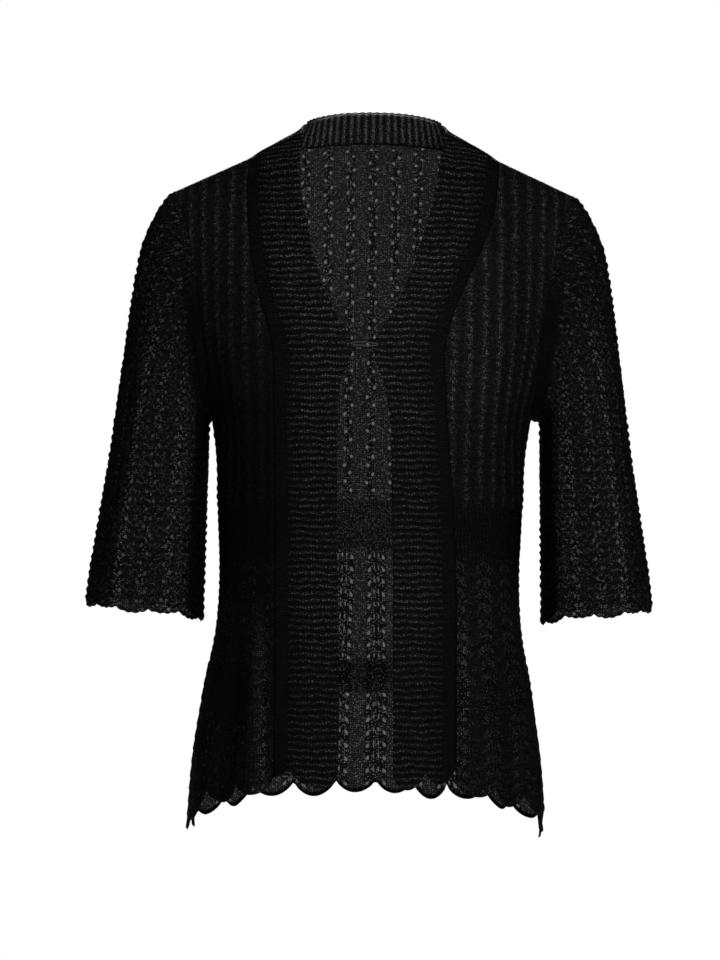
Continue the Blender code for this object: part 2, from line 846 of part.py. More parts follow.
class Band:
    """The band's middle surface: along it by length, across it from the seam to the free edge."""

    def __init__(self):
        self.seam, self.normals, self.stations, self.neck_start = band_stations()
        self.neck_end = len(self.seam) - 1 - self.neck_start
        self.places = [0.0]
        self.lengths = [0.0]
        steps = 12 * (len(self.seam) - 1)
        last = self.across(0.0, 0.55)
        for i in range(1, steps + 1):
            place = i / 12.0
            point = self.across(place, 0.55)
            self.lengths.append(self.lengths[-1] + (point - last).length)
            self.places.append(place)
            last = point
        self.length = self.lengths[-1]

    def across(self, place, share):
        """A curve through the seam, the middle and the free edge."""
        seam = straight_line(self.seam, place)
        middle = table_spline(self.stations, place, 1)
        edge = table_spline(self.stations, place, 2)
        return (
            seam * ((1.0 - share) * (1.0 - 2.0 * share))
            + middle * (4.0 * share * (1.0 - share))
            + edge * (share * (2.0 * share - 1.0))
        )

    def place_at(self, along):
        """The place on the seam line that lies at a length along the band."""
        along = min(self.length, max(0.0, along))
        low = 0
        high = len(self.lengths) - 1
        while high - low > 1:
            middle = (low + high) // 2
            if self.lengths[middle] <= along:
                low = middle
            else:
                high = middle
        span = self.lengths[high] - self.lengths[low]
        return mix(self.places[low], self.places[high], (along - self.lengths[low]) / span)

    def edge_place(self, z, on_left):
        """The first place, counted from one front's hem, where the free edge passes a height."""
        for place in reversed(self.places) if on_left else self.places:
            if self.across(place, 1.0).z >= z:
                return place
        return self.neck_start

    def normal(self, place, share):
        step = 0.35
        low = max(0.0, place - step)
        high = min(len(self.seam) - 1.0, place + step)
        along = self.across(high, share) - self.across(low, share)
        sideways = self.across(place, min(1.0, share + 0.03)) - self.across(place, max(0.0, share - 0.03))
        return sideways.cross(along).normalized()

    def face(self, place, share, lift, rise=0.0):
        """A point of the outer or inner face. At the seam it lines up with the panel's own edge."""
        if share == 0.0:
            normal = straight_line(self.normals, place).normalized()
            along = straight_line(self.seam, place + 0.3) - straight_line(self.seam, place - 0.3)
            away = along.cross(normal).normalized()
            if away.dot(self.across(place, 0.2) - self.across(place, 0.0)) < 0:
                away = -away
            point = straight_line(self.seam, place) + away * BAND_GAP + normal * lift
        else:
            point = self.across(place, share) + self.normal(place, share) * lift
        point.z += rise
        return point


def band_shares(in_neck):
    if in_neck:
        return (0.0, STRIP_SHARE, STRIP_SHARE + STRIP_STEP, 0.48, 0.74, 1.0)
    return (0.0, STRIP_SHARE, STRIP_SHARE + STRIP_STEP, 1.0)


def band_hem(band, place, lift):
    """The scalloped end of the band: a lobe and a half, counted from the front's seam."""
    row = []
    count = 12
    for i in range(count + 1):
        share = i / count
        notch = LOBE_DEPTH * (1.0 - lobe_shape(BAND_LOBES * share))
        row.append((share, band.face(place, share, lift, notch)))
    return row


def band_rows(band, lift, ribs):
    """Rows across the band, from one hem to the other."""
    raised = lift > 0
    rows = []
    start = band.place_at(0.0)
    rows.append((-1.0, band_hem(band, start, lift)))
    steps = 2 * ribs
    for i in range(steps + 1):
        along = mix(BAND_HEM, band.length - BAND_HEM, i / steps)
        place = band.place_at(along)
        in_neck = band.neck_start - 1.0 < place < band.neck_end + 1.0
        if not raised and not in_neck and i % 4 and i != steps:
            continue
        crest = i % 2 == 1
        points = []
        shares = band_shares(in_neck) if raised or in_neck else (0.0, 0.5, 1.0)
        for share in shares:
            on_ribs = share > STRIP_SHARE + 1e-6
            height = lift
            if crest and on_ribs and (raised or in_neck):
                height += RIB_HEIGHT if raised else -RIB_HEIGHT
            points.append((share, band.face(place, share, height)))
        rows.append((float(i), points))
    rows.append((steps + 1.0, band_hem(band, band.place_at(band.length), lift)))
    return rows


def make_band(band):
    ribs = round((band.length - 2.0 * BAND_HEM) / RIB_PITCH)
    half = WALL / 2.0
    return build_wall("front_band", band_rows(band, half, ribs), band_rows(band, -half, ribs), "cloth")


# Fastening


def tube(name, corners, thickness, kind, closed=False):
    """A round thread or wire through a few points."""
    curve = bpy.data.curves.new(name, "CURVE")
    curve.dimensions = "3D"
    curve.bevel_depth = thickness / 2.0 * MM
    curve.bevel_resolution = 1
    curve.use_fill_caps = not closed
    spline = curve.splines.new("POLY")
    spline.points.add(len(corners) - 1)
    for point, corner in zip(spline.points, corners):
        point.co = (*(leaned(corner) * MM), 1.0)
    spline.use_cyclic_u = closed
    curve.materials.append(principled(name, kind))
    piece = bpy.data.objects.new(name, curve)
    bpy.context.scene.collection.objects.link(piece)
    return piece


def make_fastening(band):
    """A wire hook lying on the right band's edge, and a thread loop from the left band's edge over it."""
    on_ribs = WALL / 2.0 + RIB_HEIGHT + SEAM_GAP
    place = band.edge_place(HOOK_Z, False)
    edge = band.face(place, 1.0, on_ribs + HOOK_WIRE / 2.0)
    onto_band = (band.face(place, 0.9, on_ribs + HOOK_WIRE / 2.0) - edge).normalized()
    up = Vector((0.0, 0.0, 1.0))
    bend = []
    for i in range(HOOK_STEPS + 1):
        turn = pi * i / HOOK_STEPS
        bend.append(edge - onto_band * (HOOK_BEND * sin(turn)) + up * (HOOK_BEND * cos(turn)))
    leg = onto_band * HOOK_LEG
    tube("hook", [bend[0] + leg] + bend + [bend[-1] + leg], HOOK_WIRE, "wire")

    over_hook = edge + band.normal(place, 1.0) * ((HOOK_WIRE + THREAD) / 2.0 + SEAM_GAP) + onto_band
    place = band.edge_place(HOOK_Z, True)
    sewn = band.face(place, 1.0, on_ribs + THREAD / 2.0)
    sewn += (band.face(place, 0.9, on_ribs + THREAD / 2.0) - sewn).normalized() * LOOP_SEWN
    loop = []
    for i in range(LOOP_POINTS):
        turn = 2.0 * pi * i / LOOP_POINTS
        along = over_hook.lerp(sewn, (1.0 - cos(turn)) / 2.0)
        loop.append(along + up * (LOOP_SPREAD * sin(turn)))
    tube("thread_loop", loop, THREAD, "thread", closed=True)


def main():
    clear_scene()
    make_back()
    make_front("front_right", -1.0)
    make_front("front_left", 1.0)
    make_sleeve("sleeve_right", -1.0)
    make_sleeve("sleeve_left", 1.0)
    band = Band()
    make_band(band)
    make_fastening(band)


main()
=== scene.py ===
from math import pi, radians

import bpy
import numpy as np
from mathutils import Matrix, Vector


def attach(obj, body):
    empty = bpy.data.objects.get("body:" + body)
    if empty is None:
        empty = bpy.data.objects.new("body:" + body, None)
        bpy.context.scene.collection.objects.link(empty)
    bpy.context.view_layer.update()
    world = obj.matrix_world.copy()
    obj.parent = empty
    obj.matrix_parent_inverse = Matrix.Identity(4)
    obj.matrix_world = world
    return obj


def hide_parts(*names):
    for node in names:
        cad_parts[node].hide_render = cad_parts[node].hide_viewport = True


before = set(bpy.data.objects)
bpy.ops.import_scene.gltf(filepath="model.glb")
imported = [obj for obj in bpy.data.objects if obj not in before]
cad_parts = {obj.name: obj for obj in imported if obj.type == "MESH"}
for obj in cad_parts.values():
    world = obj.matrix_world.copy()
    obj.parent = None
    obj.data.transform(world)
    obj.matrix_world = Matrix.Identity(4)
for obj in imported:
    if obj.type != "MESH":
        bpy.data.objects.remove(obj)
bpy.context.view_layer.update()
print("frame loaded")

mm = 0.001

# The form that all the cloth lies on, in millimetres, with the solids' own values
form = {
    "sectionPower": 2.35,
    "sideY": 5.0,
    "seamHalf": 0.15,
    "shoulderX": 187.0,
    "shoulderZ": -31.0,
    "neckX": 119.0,
    "shoulderSlope": 0.46,
    "ridgeRound": 90.0,
    "backNeckRise": 20.5,
    "backNeckRound": 0.8,
    "underarmZ": -245.0,
    "skirtEndZ": -570.0,
    "ridgeHalf": 1.5,
    "frontRound": 210.0,  # how far below the shoulder a front has its full depth, and its curve
    "frontCurve": (1.6, 0.6),
    "backRound": 125.0,
    "backCurve": (2, 0.5),
    "lean": 0.0115,
    "width": (  # height, half the width at the side seam
        (60, 206), (-31, 205), (-98, 196), (-161, 183), (-212, 164), (-245, 151), (-285, 145.5),
        (-342, 143.5), (-390, 141.5), (-425, 142.5), (-456, 146), (-490, 153), (-525, 158.5),
        (-570, 164), (-640, 169),
    ),
    "depth": (  # height, depth in front, depth behind
        (60, 96, 100), (-31, 104, 104), (-120, 122, 102), (-185, 131, 97), (-245, 121, 90),
        (-300, 106, 80), (-345, 98, 75), (-400, 101, 82), (-460, 110, 96), (-530, 119, 108),
        (-640, 130, 117),
    ),
    "armhole": ((-31, 187), (-64, 177), (-98, 169.5), (-161, 159), (-212, 153), (-245, 151)),
    "hemTips": ((0, -590), (0.22, -594), (0.38, -610), (0.5, -634), (0.62, -630), (0.78, -618), (1, -612)),
    "flutes": (  # share round, width, depth, on the right, on the left
        (0.21, 0.030, 5.0, 1, 1), (0.29, 0.026, -4.0, 1, 1), (0.37, 0.034, 6.0, 1, 0),
        (0.40, 0.030, 5.0, 0, 1), (0.47, 0.028, -4.5, 1, 1), (0.56, 0.036, 5.5, 1, 0),
        (0.61, 0.034, 4.5, 0, 1), (0.69, 0.030, -4.0, 1, 1), (0.78, 0.040, 5.0, 1, 1),
        (0.87, 0.034, -4.0, 0, 1), (0.91, 0.030, -3.5, 1, 0),
    ),
    "fluteTop": -400.0,
    "fluteFull": -600.0,
}


def mix(a, b, share):
    return a + (b - a) * share


def ease(share):
    share = np.clip(share, 0.0, 1.0)
    return share * share * (3.0 - 2.0 * share)


def unit(vectors):
    return vectors / np.maximum(np.linalg.norm(vectors, axis=-1, keepdims=True), 1e-9)


def smoothCurve(rows, column=1, points=1500):  # a smooth curve through a table, as a function
    rows = sorted(rows)
    x = np.array([row[0] for row in rows], float)
    y = np.array([row[column] for row in rows], float)
    slope = np.gradient(y, x)
    slope[1:-1] = (y[2:] - y[:-2]) / (x[2:] - x[:-2])
    at = np.linspace(x[0], x[-1], points)
    i = np.clip(np.searchsorted(x, at, side="right") - 1, 0, len(x) - 2)
    span = x[i + 1] - x[i]
    t = (at - x[i]) / span
    value = (
        y[i] * (2 * t**3 - 3 * t**2 + 1) + slope[i] * span * (t**3 - 2 * t**2 + t)
        + y[i + 1] * (3 * t**2 - 2 * t**3) + slope[i + 1] * span * (t**3 - t**2)
    )
    return lambda place: np.interp(place, at, value)


bodyWidth = smoothCurve(form["width"])
frontDepth = smoothCurve(form["depth"], 1)
backDepth = smoothCurve(form["depth"], 2)
armholeLine = smoothCurve(form["armhole"])
hemTips = smoothCurve(form["hemTips"])


def shoulderZ(x):
    spread = np.abs(x)
    rounded = (x * x / form["ridgeRound"] + form["ridgeRound"]) / 2.0
    spread = np.where(spread < form["ridgeRound"], rounded, spread)
    return form["shoulderZ"] + (form["shoulderX"] - spread) * form["shoulderSlope"]


neckHeight = float(shoulderZ(np.array(form["neckX"])))


def bodyDepth(x, z, back):
    name = "back" if back else "front"
    share = np.clip((shoulderZ(x) - z) / form[name + "Round"], 0.0, 1.0)
    fall, swell = form[name + "Curve"]
    return (backDepth if back else frontDepth)(z) * (1.0 - (1.0 - share) ** fall) ** swell


def sectionAngle(x, z):
    share = np.minimum(1.0, np.abs(x) / bodyWidth(z))
    return np.arcsin(share ** (form["sectionPower"] / 2.0))


def sectionX(angle, z):
    return bodyWidth(z) * np.sin(angle) ** (2.0 / form["sectionPower"])


def bodyPoint(x, z, back):
    power = form["sectionPower"]
    share = np.minimum(1.0, np.abs(x) / bodyWidth(z))
    out = form["seamHalf"] + bodyDepth(x, z, back) * np.maximum(0.0, 1.0 - share**power) ** (1.0 / power)
    return np.stack([x, form["sideY"] + (out if back else -out), z], axis=-1)


def bodyNormal(x, z, back):
    power = form["sectionPower"]

    def level(point):
        px, py, pz = np.moveaxis(point, -1, 0)
        deep = np.maximum(1.0, bodyDepth(px, pz, back))
        return (np.abs(px) / bodyWidth(pz)) ** power + (np.abs(py - form["sideY"]) / deep) ** power

    point = bodyPoint(x, z, back)
    slope = np.stack([level(point + step) - level(point - step) for step in 0.5 * np.eye(3)], axis=-1)
    ridge = np.stack([np.sign(x) * form["shoulderSlope"], np.zeros_like(x), np.ones_like(x)], axis=-1)
    onRidge = ease(2.0 - (shoulderZ(x) - z) / form["ridgeHalf"])[..., None]
    return unit(mix(unit(slope), unit(ridge), onRidge))


def flute(x, z, back):
    fall = ease((form["fluteTop"] - z) / (form["fluteTop"] - form["fluteFull"]))
    quarter = sectionAngle(x, z) / pi
    around = 1.0 - quarter if back else quarter
    total = np.zeros_like(around)
    for middle, width, deep, onRight, onLeft in form["flutes"]:
        here = np.where(x < 0, onRight, onLeft)
        off = np.minimum(1.0, np.abs(around - middle) / (2.0 * width))
        total += here * deep * np.cos(off * pi / 2.0) ** 2
    return total * fall


def clothMiddle(x, z, back=False):
    return bodyPoint(x, z, back) + bodyNormal(x, z, back) * flute(x, z, back)[..., None]


def leaned(points):  # the garment hangs turned a little
    x, y, z = points[..., 0], points[..., 1], points[..., 2]
    return np.stack([x + form["lean"] * z, y, z - form["lean"] * x], axis=-1) * mm


# Shader arithmetic: a socket that takes part in ordinary expressions
class Value:
    def __init__(self, shader, socket):
        self.shader = shader
        self.socket = socket

    def __add__(self, other):
        return self.shader.maths("ADD", self, other)

    def __sub__(self, other):
        return self.shader.maths("SUBTRACT", self, other)

    def __rsub__(self, other):
        return self.shader.maths("SUBTRACT", other, self)

    def __mul__(self, other):
        return self.shader.maths("MULTIPLY", self, other)

    def __truediv__(self, other):
        return self.shader.maths("DIVIDE", self, other)

    def __rtruediv__(self, other):
        return self.shader.maths("DIVIDE", other, self)

    __radd__ = __add__
    __rmul__ = __mul__


class Shader:
    def __init__(self, holder, surface, fixed):  # a material or world, its surface node, its fixed values
        holder.use_nodes = True
        self.holder = holder
        self.tree = holder.node_tree
        self.surface = self.tree.nodes[surface]
        for socket, value in fixed.items():
            self.surface.inputs[socket].default_value = value

    def node(self, kind, settings, sockets, *outputs):  # adds a node and returns the outputs named
        made = self.tree.nodes.new(kind)
        for name, value in settings.items():
            setattr(made, name, value)
        for name, value in sockets.items():
            if isinstance(value, Value):
                self.tree.links.new(value.socket, made.inputs[name])
            else:
                made.inputs[name].default_value = value
        found = [Value(self, made.outputs[name]) for name in outputs]
        return found if len(found) > 1 else found[0]

    def maths(self, operation, *values):
        return self.node("ShaderNodeMath", {"operation": operation}, dict(enumerate(values)), 0)

    def pair(self, layer):  # the two numbers of a UV layer
        place = self.node("ShaderNodeUVMap", {"uv_map": layer}, {}, "UV")
        return self.node("ShaderNodeSeparateXYZ", {}, {"Vector": place}, "X", "Y")

    def vector(self, x, y):
        return self.node("ShaderNodeCombineXYZ", {}, {"X": x, "Y": y}, "Vector")

    def noise(self, place, scale):
        return self.node("ShaderNodeTexNoise", {}, {"Vector": place, "Scale": scale, "Detail": 2.0}, 0)

    def grain(self, scale):  # noise over the object itself
        return self.noise(self.node("ShaderNodeTexCoord", {}, {}, "Object"), scale)

    def cells(self, place, scale):  # distance to the nearest scattered point, and its own tone
        settings = {"voronoi_dimensions": "2D"}
        sockets = {"Vector": place, "Scale": scale, "Randomness": 0.75}
        distance, colour = self.node("ShaderNodeTexVoronoi", settings, sockets, "Distance", "Color")
        return distance, self.node("ShaderNodeSeparateXYZ", {}, {"Vector": colour}, "X")

    def blend(self, share, dark, light):  # between two colours
        return self.node("ShaderNodeMix", {"data_type": "RGBA"}, {"Factor": share, 6: dark, 7: light}, 2)

    def feed(self, socket, value):
        self.tree.links.new(value.socket, self.surface.inputs[socket])

    def bumps(self, height, distance):
        sockets = {"Height": height, "Distance": distance, "Strength": 1.0}
        self.feed("Normal", self.node("ShaderNodeBump", {}, sockets, "Normal"))


def materialShader(name, fixed):
    return Shader(bpy.data.materials.new(name), "Principled BSDF", fixed)


# The same expressions shape the mesh, on arrays, and its shader, on sockets
def either(operation, onArrays):
    def work(first, *others):
        for value in (first, *others):
            if isinstance(value, Value):
                return value.shader.maths(operation, first, *others)
        return onArrays(first, *others)
    return work


cosine = either("COSINE", np.cos)
absolute = either("ABSOLUTE", np.abs)
wholePart = either("FLOOR", np.floor)
signOf = either("SIGN", np.sign)
larger = either("MAXIMUM", np.maximum)
smaller = either("MINIMUM", np.minimum)


def wrapped(x, period):  # from the nearest multiple of the period
    return x - period * wholePart(x / period + 0.5)


def bell(x):
    return 1.0 / ((1.0 + x * x) * (1.0 + x * x))


def ramp(x, low, high):
    return smaller(1.0, larger(0.0, (x - low) / (high - low)))


# The knitting: what repeats, in millimetres. Heights along it start at the top of the waist, going up
knit = {
    "wander": ((0.7, 4.3, 1.7, 13.0), (0.8, 5.1, 1.9, 17.0)),  # swing, its length, bend, its length
    "column": 22.0,  # between two lines of eyelets
    "row": 8.5,
    "cord": (1.7, 1.5, 1.0),  # swing, half width, height
    "plainWide": 4.2,
    "laceWide": 6.5,
    "ridge": 15.0,  # between two ridges of a front
    "ridgeWide": 4.0,
    "ridgeHeight": 1.1,
    "ridgeEyelet": (1.3, 0.9, 1.3),
    "backScales": 0.35,  # how high the plain columns stand between the cords
    "sleeveScales": 0.7,
    "sleeveRow": 7.7,
    "sleeveBump": 0.9,
    "eyelet": (2.9, 1.5, 1.9),  # off the line, half width, half height
    "smallEyelet": (3.9, 0.8, 0.9),
    "change": 4.0,  # height over which one pattern turns into the next
    "waistTall": 50.0,
    "waistRib": 3.8,
    "waistHeight": (0.6, 0.35),  # of the ribs, on the back and on the fronts
    "fanHeight": (1.0, 0.7),
    "fanRow": 12.7,
    "fanWave": 3.4,
    "fanEyelet": (10.5, 1.7, 2.1),
    "fanSlot": (2.6, 0.9, 2.7),
    "fanSlotPlace": 5.2,  # from the line between two lobes
    "fanPlain": (5.0, 9.0),
    "lobeWide": 39.0,
    "denseFrom": -158.0,
    "denseTo": -196.0,
}


def wander(along, across, swing, length, bend, bendLength):
    return swing * cosine(along / length + bend * cosine(across / bendLength))


def wandered(u, v):  # yarn never lies quite straight
    first, second = knit["wander"]
    return u + wander(v, u, *first), v + wander(u, v, *second)


def eyelet(name, across, up, side=1.0):
    off, halfWide, halfTall = knit[name]
    x = (across - off * side) / halfWide
    y = up / halfTall
    return smaller(1.0, larger(0.0, 1.5 - (x * x + y * y)))


def zigzagLace(u, v, scaly):  # staggered eyelets beside a winding cord, between plain columns
    across = wrapped(u, knit["column"])
    turn = cosine(pi * v / knit["row"])
    side = signOf(turn)
    up = wrapped(v, knit["row"])
    swing, wide, high = knit["cord"]
    cord = bell((across - swing * turn) / wide)
    big = eyelet("eyelet", across, up, -1.0 * side)
    small = eyelet("smallEyelet", across, up, side)
    plain = bell(wrapped(u + knit["column"] / 2.0, knit["column"]) / knit["plainWide"])
    scales = plain * (0.55 + 0.45 * cosine(2.0 * pi * v / knit["row"]))
    relief = high * cord + scaly * scales - 1.0 * big - 0.5 * small
    return relief, larger(big, 0.5 * small), bell(across / knit["laceWide"])


def fanLace(lobe, v):  # wavy rows like shingles: plain in each lobe, open between lobes
    away = wrapped(lobe - 0.5, 1.0)
    rows = (v + knit["fanWave"] * cosine(2.0 * pi * away)) / knit["fanRow"]
    climb = rows - wholePart(rows)
    shingle = larger(0.0, 1.0 - climb) * smaller(1.0, climb * 7.0)
    fromMiddle = absolute(away) * knit["lobeWide"]
    fromNotch = knit["lobeWide"] / 2.0 - fromMiddle
    between = wrapped(rows + 0.5, 1.0) * knit["fanRow"]
    big = eyelet("fanEyelet", fromMiddle, between)
    tall = eyelet("fanSlot", absolute(fromNotch - knit["fanSlotPlace"]), between)
    relief = 0.9 * shingle - 1.0 * big - 0.7 * tall
    return relief, larger(big, 0.85 * tall), ramp(fromMiddle, *knit["fanPlain"])


def ridgeLace(u, v):  # the fronts: upright scaly ridges with small eyelets between
    across = wrapped(u, knit["ridge"])
    turn = cosine(pi * v / knit["row"])
    ridge = bell(across / knit["ridgeWide"])
    scales = ridge * (0.7 + 0.3 * cosine(2.0 * pi * v / knit["row"]))
    gap = wrapped(u + knit["ridge"] / 2.0, knit["ridge"])
    small = eyelet("ridgeEyelet", gap, wrapped(v, knit["row"]), signOf(turn))
    return 0.12 + knit["ridgeHeight"] * scales - 0.5 * small, 0.5 * small, 0.35 * ridge


def bodyKnit(u, v, lobe, front):  # relief, holes, how dense and how lacy a front or the back is
    u, v = wandered(u, v)
    change = knit["change"]
    upper = ramp(v, -change / 2.0, change / 2.0)
    down = -1.0 * v
    skirt = ramp(down, knit["waistTall"] - change / 2.0, knit["waistTall"] + change / 2.0)
    waist = 1.0 - upper - skirt
    first, firstHoles, firstLacy = ridgeLace(u, v) if front else zigzagLace(u, v, knit["backScales"])
    last, lastHoles, lastLacy = fanLace(lobe, v)
    dense = ramp(down, -knit["denseFrom"], change - knit["denseFrom"])
    dense = dense * (1.0 - ramp(down, -change - knit["denseTo"], -knit["denseTo"])) * skirt
    ribs = knit["waistHeight"][front] * cosine(2.0 * pi * u / knit["waistRib"])
    relief = first * upper + (knit["fanHeight"][front] * last + 0.25 * dense) * skirt + ribs * waist
    holes = firstHoles * upper + lastHoles * skirt * (1.0 - 0.85 * dense)
    return relief, holes, waist * 0.6 + dense, firstLacy * upper + lastLacy * skirt + 0.6 * waist


def sleeveKnit(u, v):
    u, v = wandered(u, v)
    relief, holes, lacy = zigzagLace(u, v, knit["sleeveScales"])
    rows = 0.5 + 0.5 * cosine(2.0 * pi * v / knit["sleeveRow"]) * cosine(4.0 * pi * u / knit["column"])
    return relief + knit["sleeveBump"] * rows, holes, lacy


# Grids of points made into sheets of cloth
def gridNormals(points, closed=False):
    if closed:
        across = np.roll(points, -1, axis=1) - np.roll(points, 1, axis=1)
    else:
        across = np.gradient(points, axis=1)
    along = np.gradient(points, axis=0)
    return unit(np.cross(across, along))


def travelled(points, axis):  # distance run along a grid's rows or columns
    steps = np.linalg.norm(np.diff(points, axis=axis), axis=-1)
    start = np.zeros_like(np.take(steps, [0], axis=axis))
    return np.concatenate([start, np.cumsum(steps, axis=axis)], axis=axis)


def padded(grid, sides):  # more rows and columns on the sides that are turned in
    below, above, before, after = sides
    rest = ((0, 0),) * (grid.ndim - 2)
    return np.pad(grid, ((below, above), (before, after)) + rest, mode="edge")


def tucked(points, sides, reach):  # the turned-in edges reach under the next piece
    grid = padded(points, sides)
    if sides[2]:
        grid[:, 0] += unit(grid[:, 1] - grid[:, 2]) * reach
        grid[:, -1] += unit(grid[:, -2] - grid[:, -3]) * reach
    else:
        grid[-1] += unit(grid[-2] - grid[-3]) * reach
    return grid


# painted light and painted shade ride in a layer of their own, beside the knitting's places
def sheetLayers(lit, shade, u, v, place, edge, sides):
    layers = {"fold": (lit, shade), "knit": (u * mm, v * mm), "look": (place, edge * mm)}
    return {name: padded(np.stack(np.broadcast_arrays(*two), axis=-1), sides) for name, two in layers.items()}


def gridQuads(grid, turned):  # the corners of each face of a grid
    quads = np.stack([grid[:-1, :-1], grid[:-1, 1:], grid[1:, 1:], grid[1:, :-1]], axis=-1).reshape(-1, 4)
    return quads[:, ::-1] if turned else quads


def makeSheet(name, points, normals, lift, layers, material, laps=None):  # laps close it into a tube
    points = leaned(points + normals * lift[..., None])
    row = len(points) // 2
    facing = np.cross(points[row, 1] - points[row, 0], points[row + 1, 0] - points[row, 0])
    turned = facing @ normals[row, 0] < 0
    index = np.arange(points[..., 0].size).reshape(points.shape[:2])
    if laps:
        index = np.concatenate([index, index[:, :1]], axis=1)
    quads = gridQuads(index, turned)
    mesh = bpy.data.meshes.new(name)
    mesh.from_pydata(points.reshape(-1, 3).tolist(), [], quads.tolist())
    for layer, grid in layers.items():
        if laps:
            grid = np.concatenate([grid, grid[:, :1] + np.array(laps[layer])], axis=1)
        corners = gridQuads(np.arange(grid[..., 0].size).reshape(grid.shape[:2]), turned)
        values = grid.reshape(-1, 2)[corners.reshape(-1)].astype(np.float32)
        mesh.uv_layers.new(name=layer).data.foreach_set("uv", values.ravel())
    mesh.shade_smooth()
    mesh.materials.append(material)
    piece = bpy.data.objects.new(name, mesh)
    bpy.context.scene.collection.objects.link(piece)
    print(name, "has", len(quads), "faces")
    return piece


# The edge row of a hem or a cuff
hemEdge = {
    "wide": 5.0,  # where the lace begins
    "bead": (1.1, 1.8, 1.7),  # height, distance from the end, half width
    "drops": (0.9, 0.2, -0.5),  # its last rows, down and out
    "lifts": (-1.4, -0.4, 0.3),
}
edgeRows = len(hemEdge["drops"])


def hemRoll(fromEdge, relief):  # the edge row is thicker, and the lace fades into it
    edge = 1.0 - ease(fromEdge / hemEdge["wide"])
    high, place, wide = hemEdge["bead"]
    relief = relief * (1.0 - edge) + high * bell((fromEdge - place) / wide) * edge
    relief[:edgeRows] = np.array(hemEdge["lifts"])[:, None]
    return relief


def knots(z, high, bend, length):  # bumps of yarn that show along an outline
    return high * np.abs(np.sin(pi * z / knit["sleeveRow"] + bend * np.sin(z / length)))


# Front and back panels
panels = {
    "lobeDepth": 14.0,
    "hemFrom": 1.6,  # how far above the hem its own rows begin, in lobe depths
    "lobeRound": 0.6,
    "rightDrops": (0, 3, 12, 3),
    "leftDrops": (0, 5, 2, 10),
    "backDrops": (4, 0, 2, 0, 3, 0, 0, 2, 0, 3, 0, 5),
    "lobeShift": (0.24, 3.0),  # how far the back's middle lobes hang aside, and how many
    "frontColumns": 96,
    "backColumns": 236,
    "skirtRows": 196,
    "upperRows": 140,
    "hemRows": 14,
    "neckColumns": 6.0 / 9.0,  # share of the back's top edge that is the neck
    "lift": 0.2,
    "turnIn": 1.1,
    "reach": 0.5,
    "fade": 3.0,  # from an edge to the full relief
    "creaseFade": 20.0,
    "creaseStart": 0.35,  # share of a crease's length over which it rises
    "creaseStop": (1.2, 0.2),  # where it ends, and over what share it falls
    "knots": (0.9, 0.8, 31.0),
    "knotsAt": (4.5, 3.5),  # from a side seam, half width
    "knotsBeyond": 90.0,
    "frontWaistZ": -330.0,
    "backWaistZ": -324.0,
    "runHeights": (60.0, -660.0, 145),
    "runTurns": 160,
}
bands = {
    "right": (  # seam x, seam height, free edge x, free edge height
        (86, -588, 28, -588), (87, -456, 28, -456), (88, -390, 30, -390), (89, -315, 31.5, -315),
        (90, -253, 31.5, -253), (90.5, -218, 29.5, -217), (91.5, -190, 18.5, -182),
        (96, -166, 34, -153), (103, -143, 46, -127), (110, -113, 56, -95), (116.5, -72, 65.5, -52),
        (119.5, -34, 71, -14),
    ),
    "left": (
        (81, -588, 24, -588), (81, -456, 23, -456), (80, -390, 22, -390), (76, -315, 20.5, -315),
        (70, -253, 18, -253), (67.5, -218, 12, -217), (66.5, -190, 2, -182),
        (71.5, -166, 17.5, -153), (80, -142, 32.5, -121), (94, -108, 44, -86), (108, -71, 54.5, -50),
        (116, -33, 61.5, -12),
    ),
    "collar": (  # seam x, middle of the band, its free edge
        (119, (93.5, 5, 13.5), (67.5, 6, 25)), (99, (81, 31, 22.5), (69, 44, 35)),
        (66, (61, 62, 38.5), (59, 85, 47.5)), (33, (32, 81, 48.5), (32, 106, 55.5)),
        (0, (0, 88, 51), (0, 114.5, 58)),
    ),
    "gap": 0.5,
    "near": (0.12, 0.05),  # shares of the width that lean to the seam, and that leave its gap
    "measured": 0.55,  # where the band's length is taken
    "ribPitch": 6.2,
    "collarPitch": 7.2,
    "ribHeight": 1.1,
    "strip": 0.21,  # share of the width that is the plain strip
    "stripEdge": 0.035,
    "fan": (-25.0, 30.0, 20.0, 0.04),  # how the ribs turn toward the collar
    "waver": ((0.09, 9.0, 17.0), (0.06, 23.0, 6.1)),
    "lobesTall": 22.0,
    "ribsFromHem": (5.0, 4.0),  # where the ribs begin, and how soon they are full
    "ribsFromJoint": (1.0, 3.0),
    "ribsFromSeam": 2.0,
    "hemBead": (0.9, 1.0, 5.0),  # height, where it is full, how soon it is gone
    "rolledShare": 0.6,  # of the ribs' height, on the rolled edge
    "stripLight": (0.5, 0.35),  # share of the painted light on the strip, which is painted in shade, how soon the rest comes
    "edgeRoll": ((0.7, 0.2), (0.7, 1.0), (-0.2, 1.9)),
    "hemRoll": ((0.6, 0.6), (0.1, 1.6)),
    # painted shade along the collar's joints and its seam, and painted light on the whole collar
    "jointWide": 2.2,
    "collarLight": 3.4,
    "step": 1.03,
    "columns": 34,
}


def seamCurve(name):
    return smoothCurve([(z, x) for x, z, edgeX, edgeZ in bands[name]] + [(neckHeight, form["neckX"])])


seamCurves = {"right": seamCurve("right"), "left": seamCurve("left")}


def seamLine(z, side):  # a front's edge at the band
    return seamCurves["left" if side > 0 else "right"](z)


def hemHeight(tips, place, drops):  # lobes with notches between them
    drop = np.array(drops, float)[np.minimum(len(drops) - 1, place.astype(int))]
    shape = np.abs(np.sin(pi * place)) ** panels["lobeRound"]
    return tips + panels["lobeDepth"] - (panels["lobeDepth"] + drop) * shape


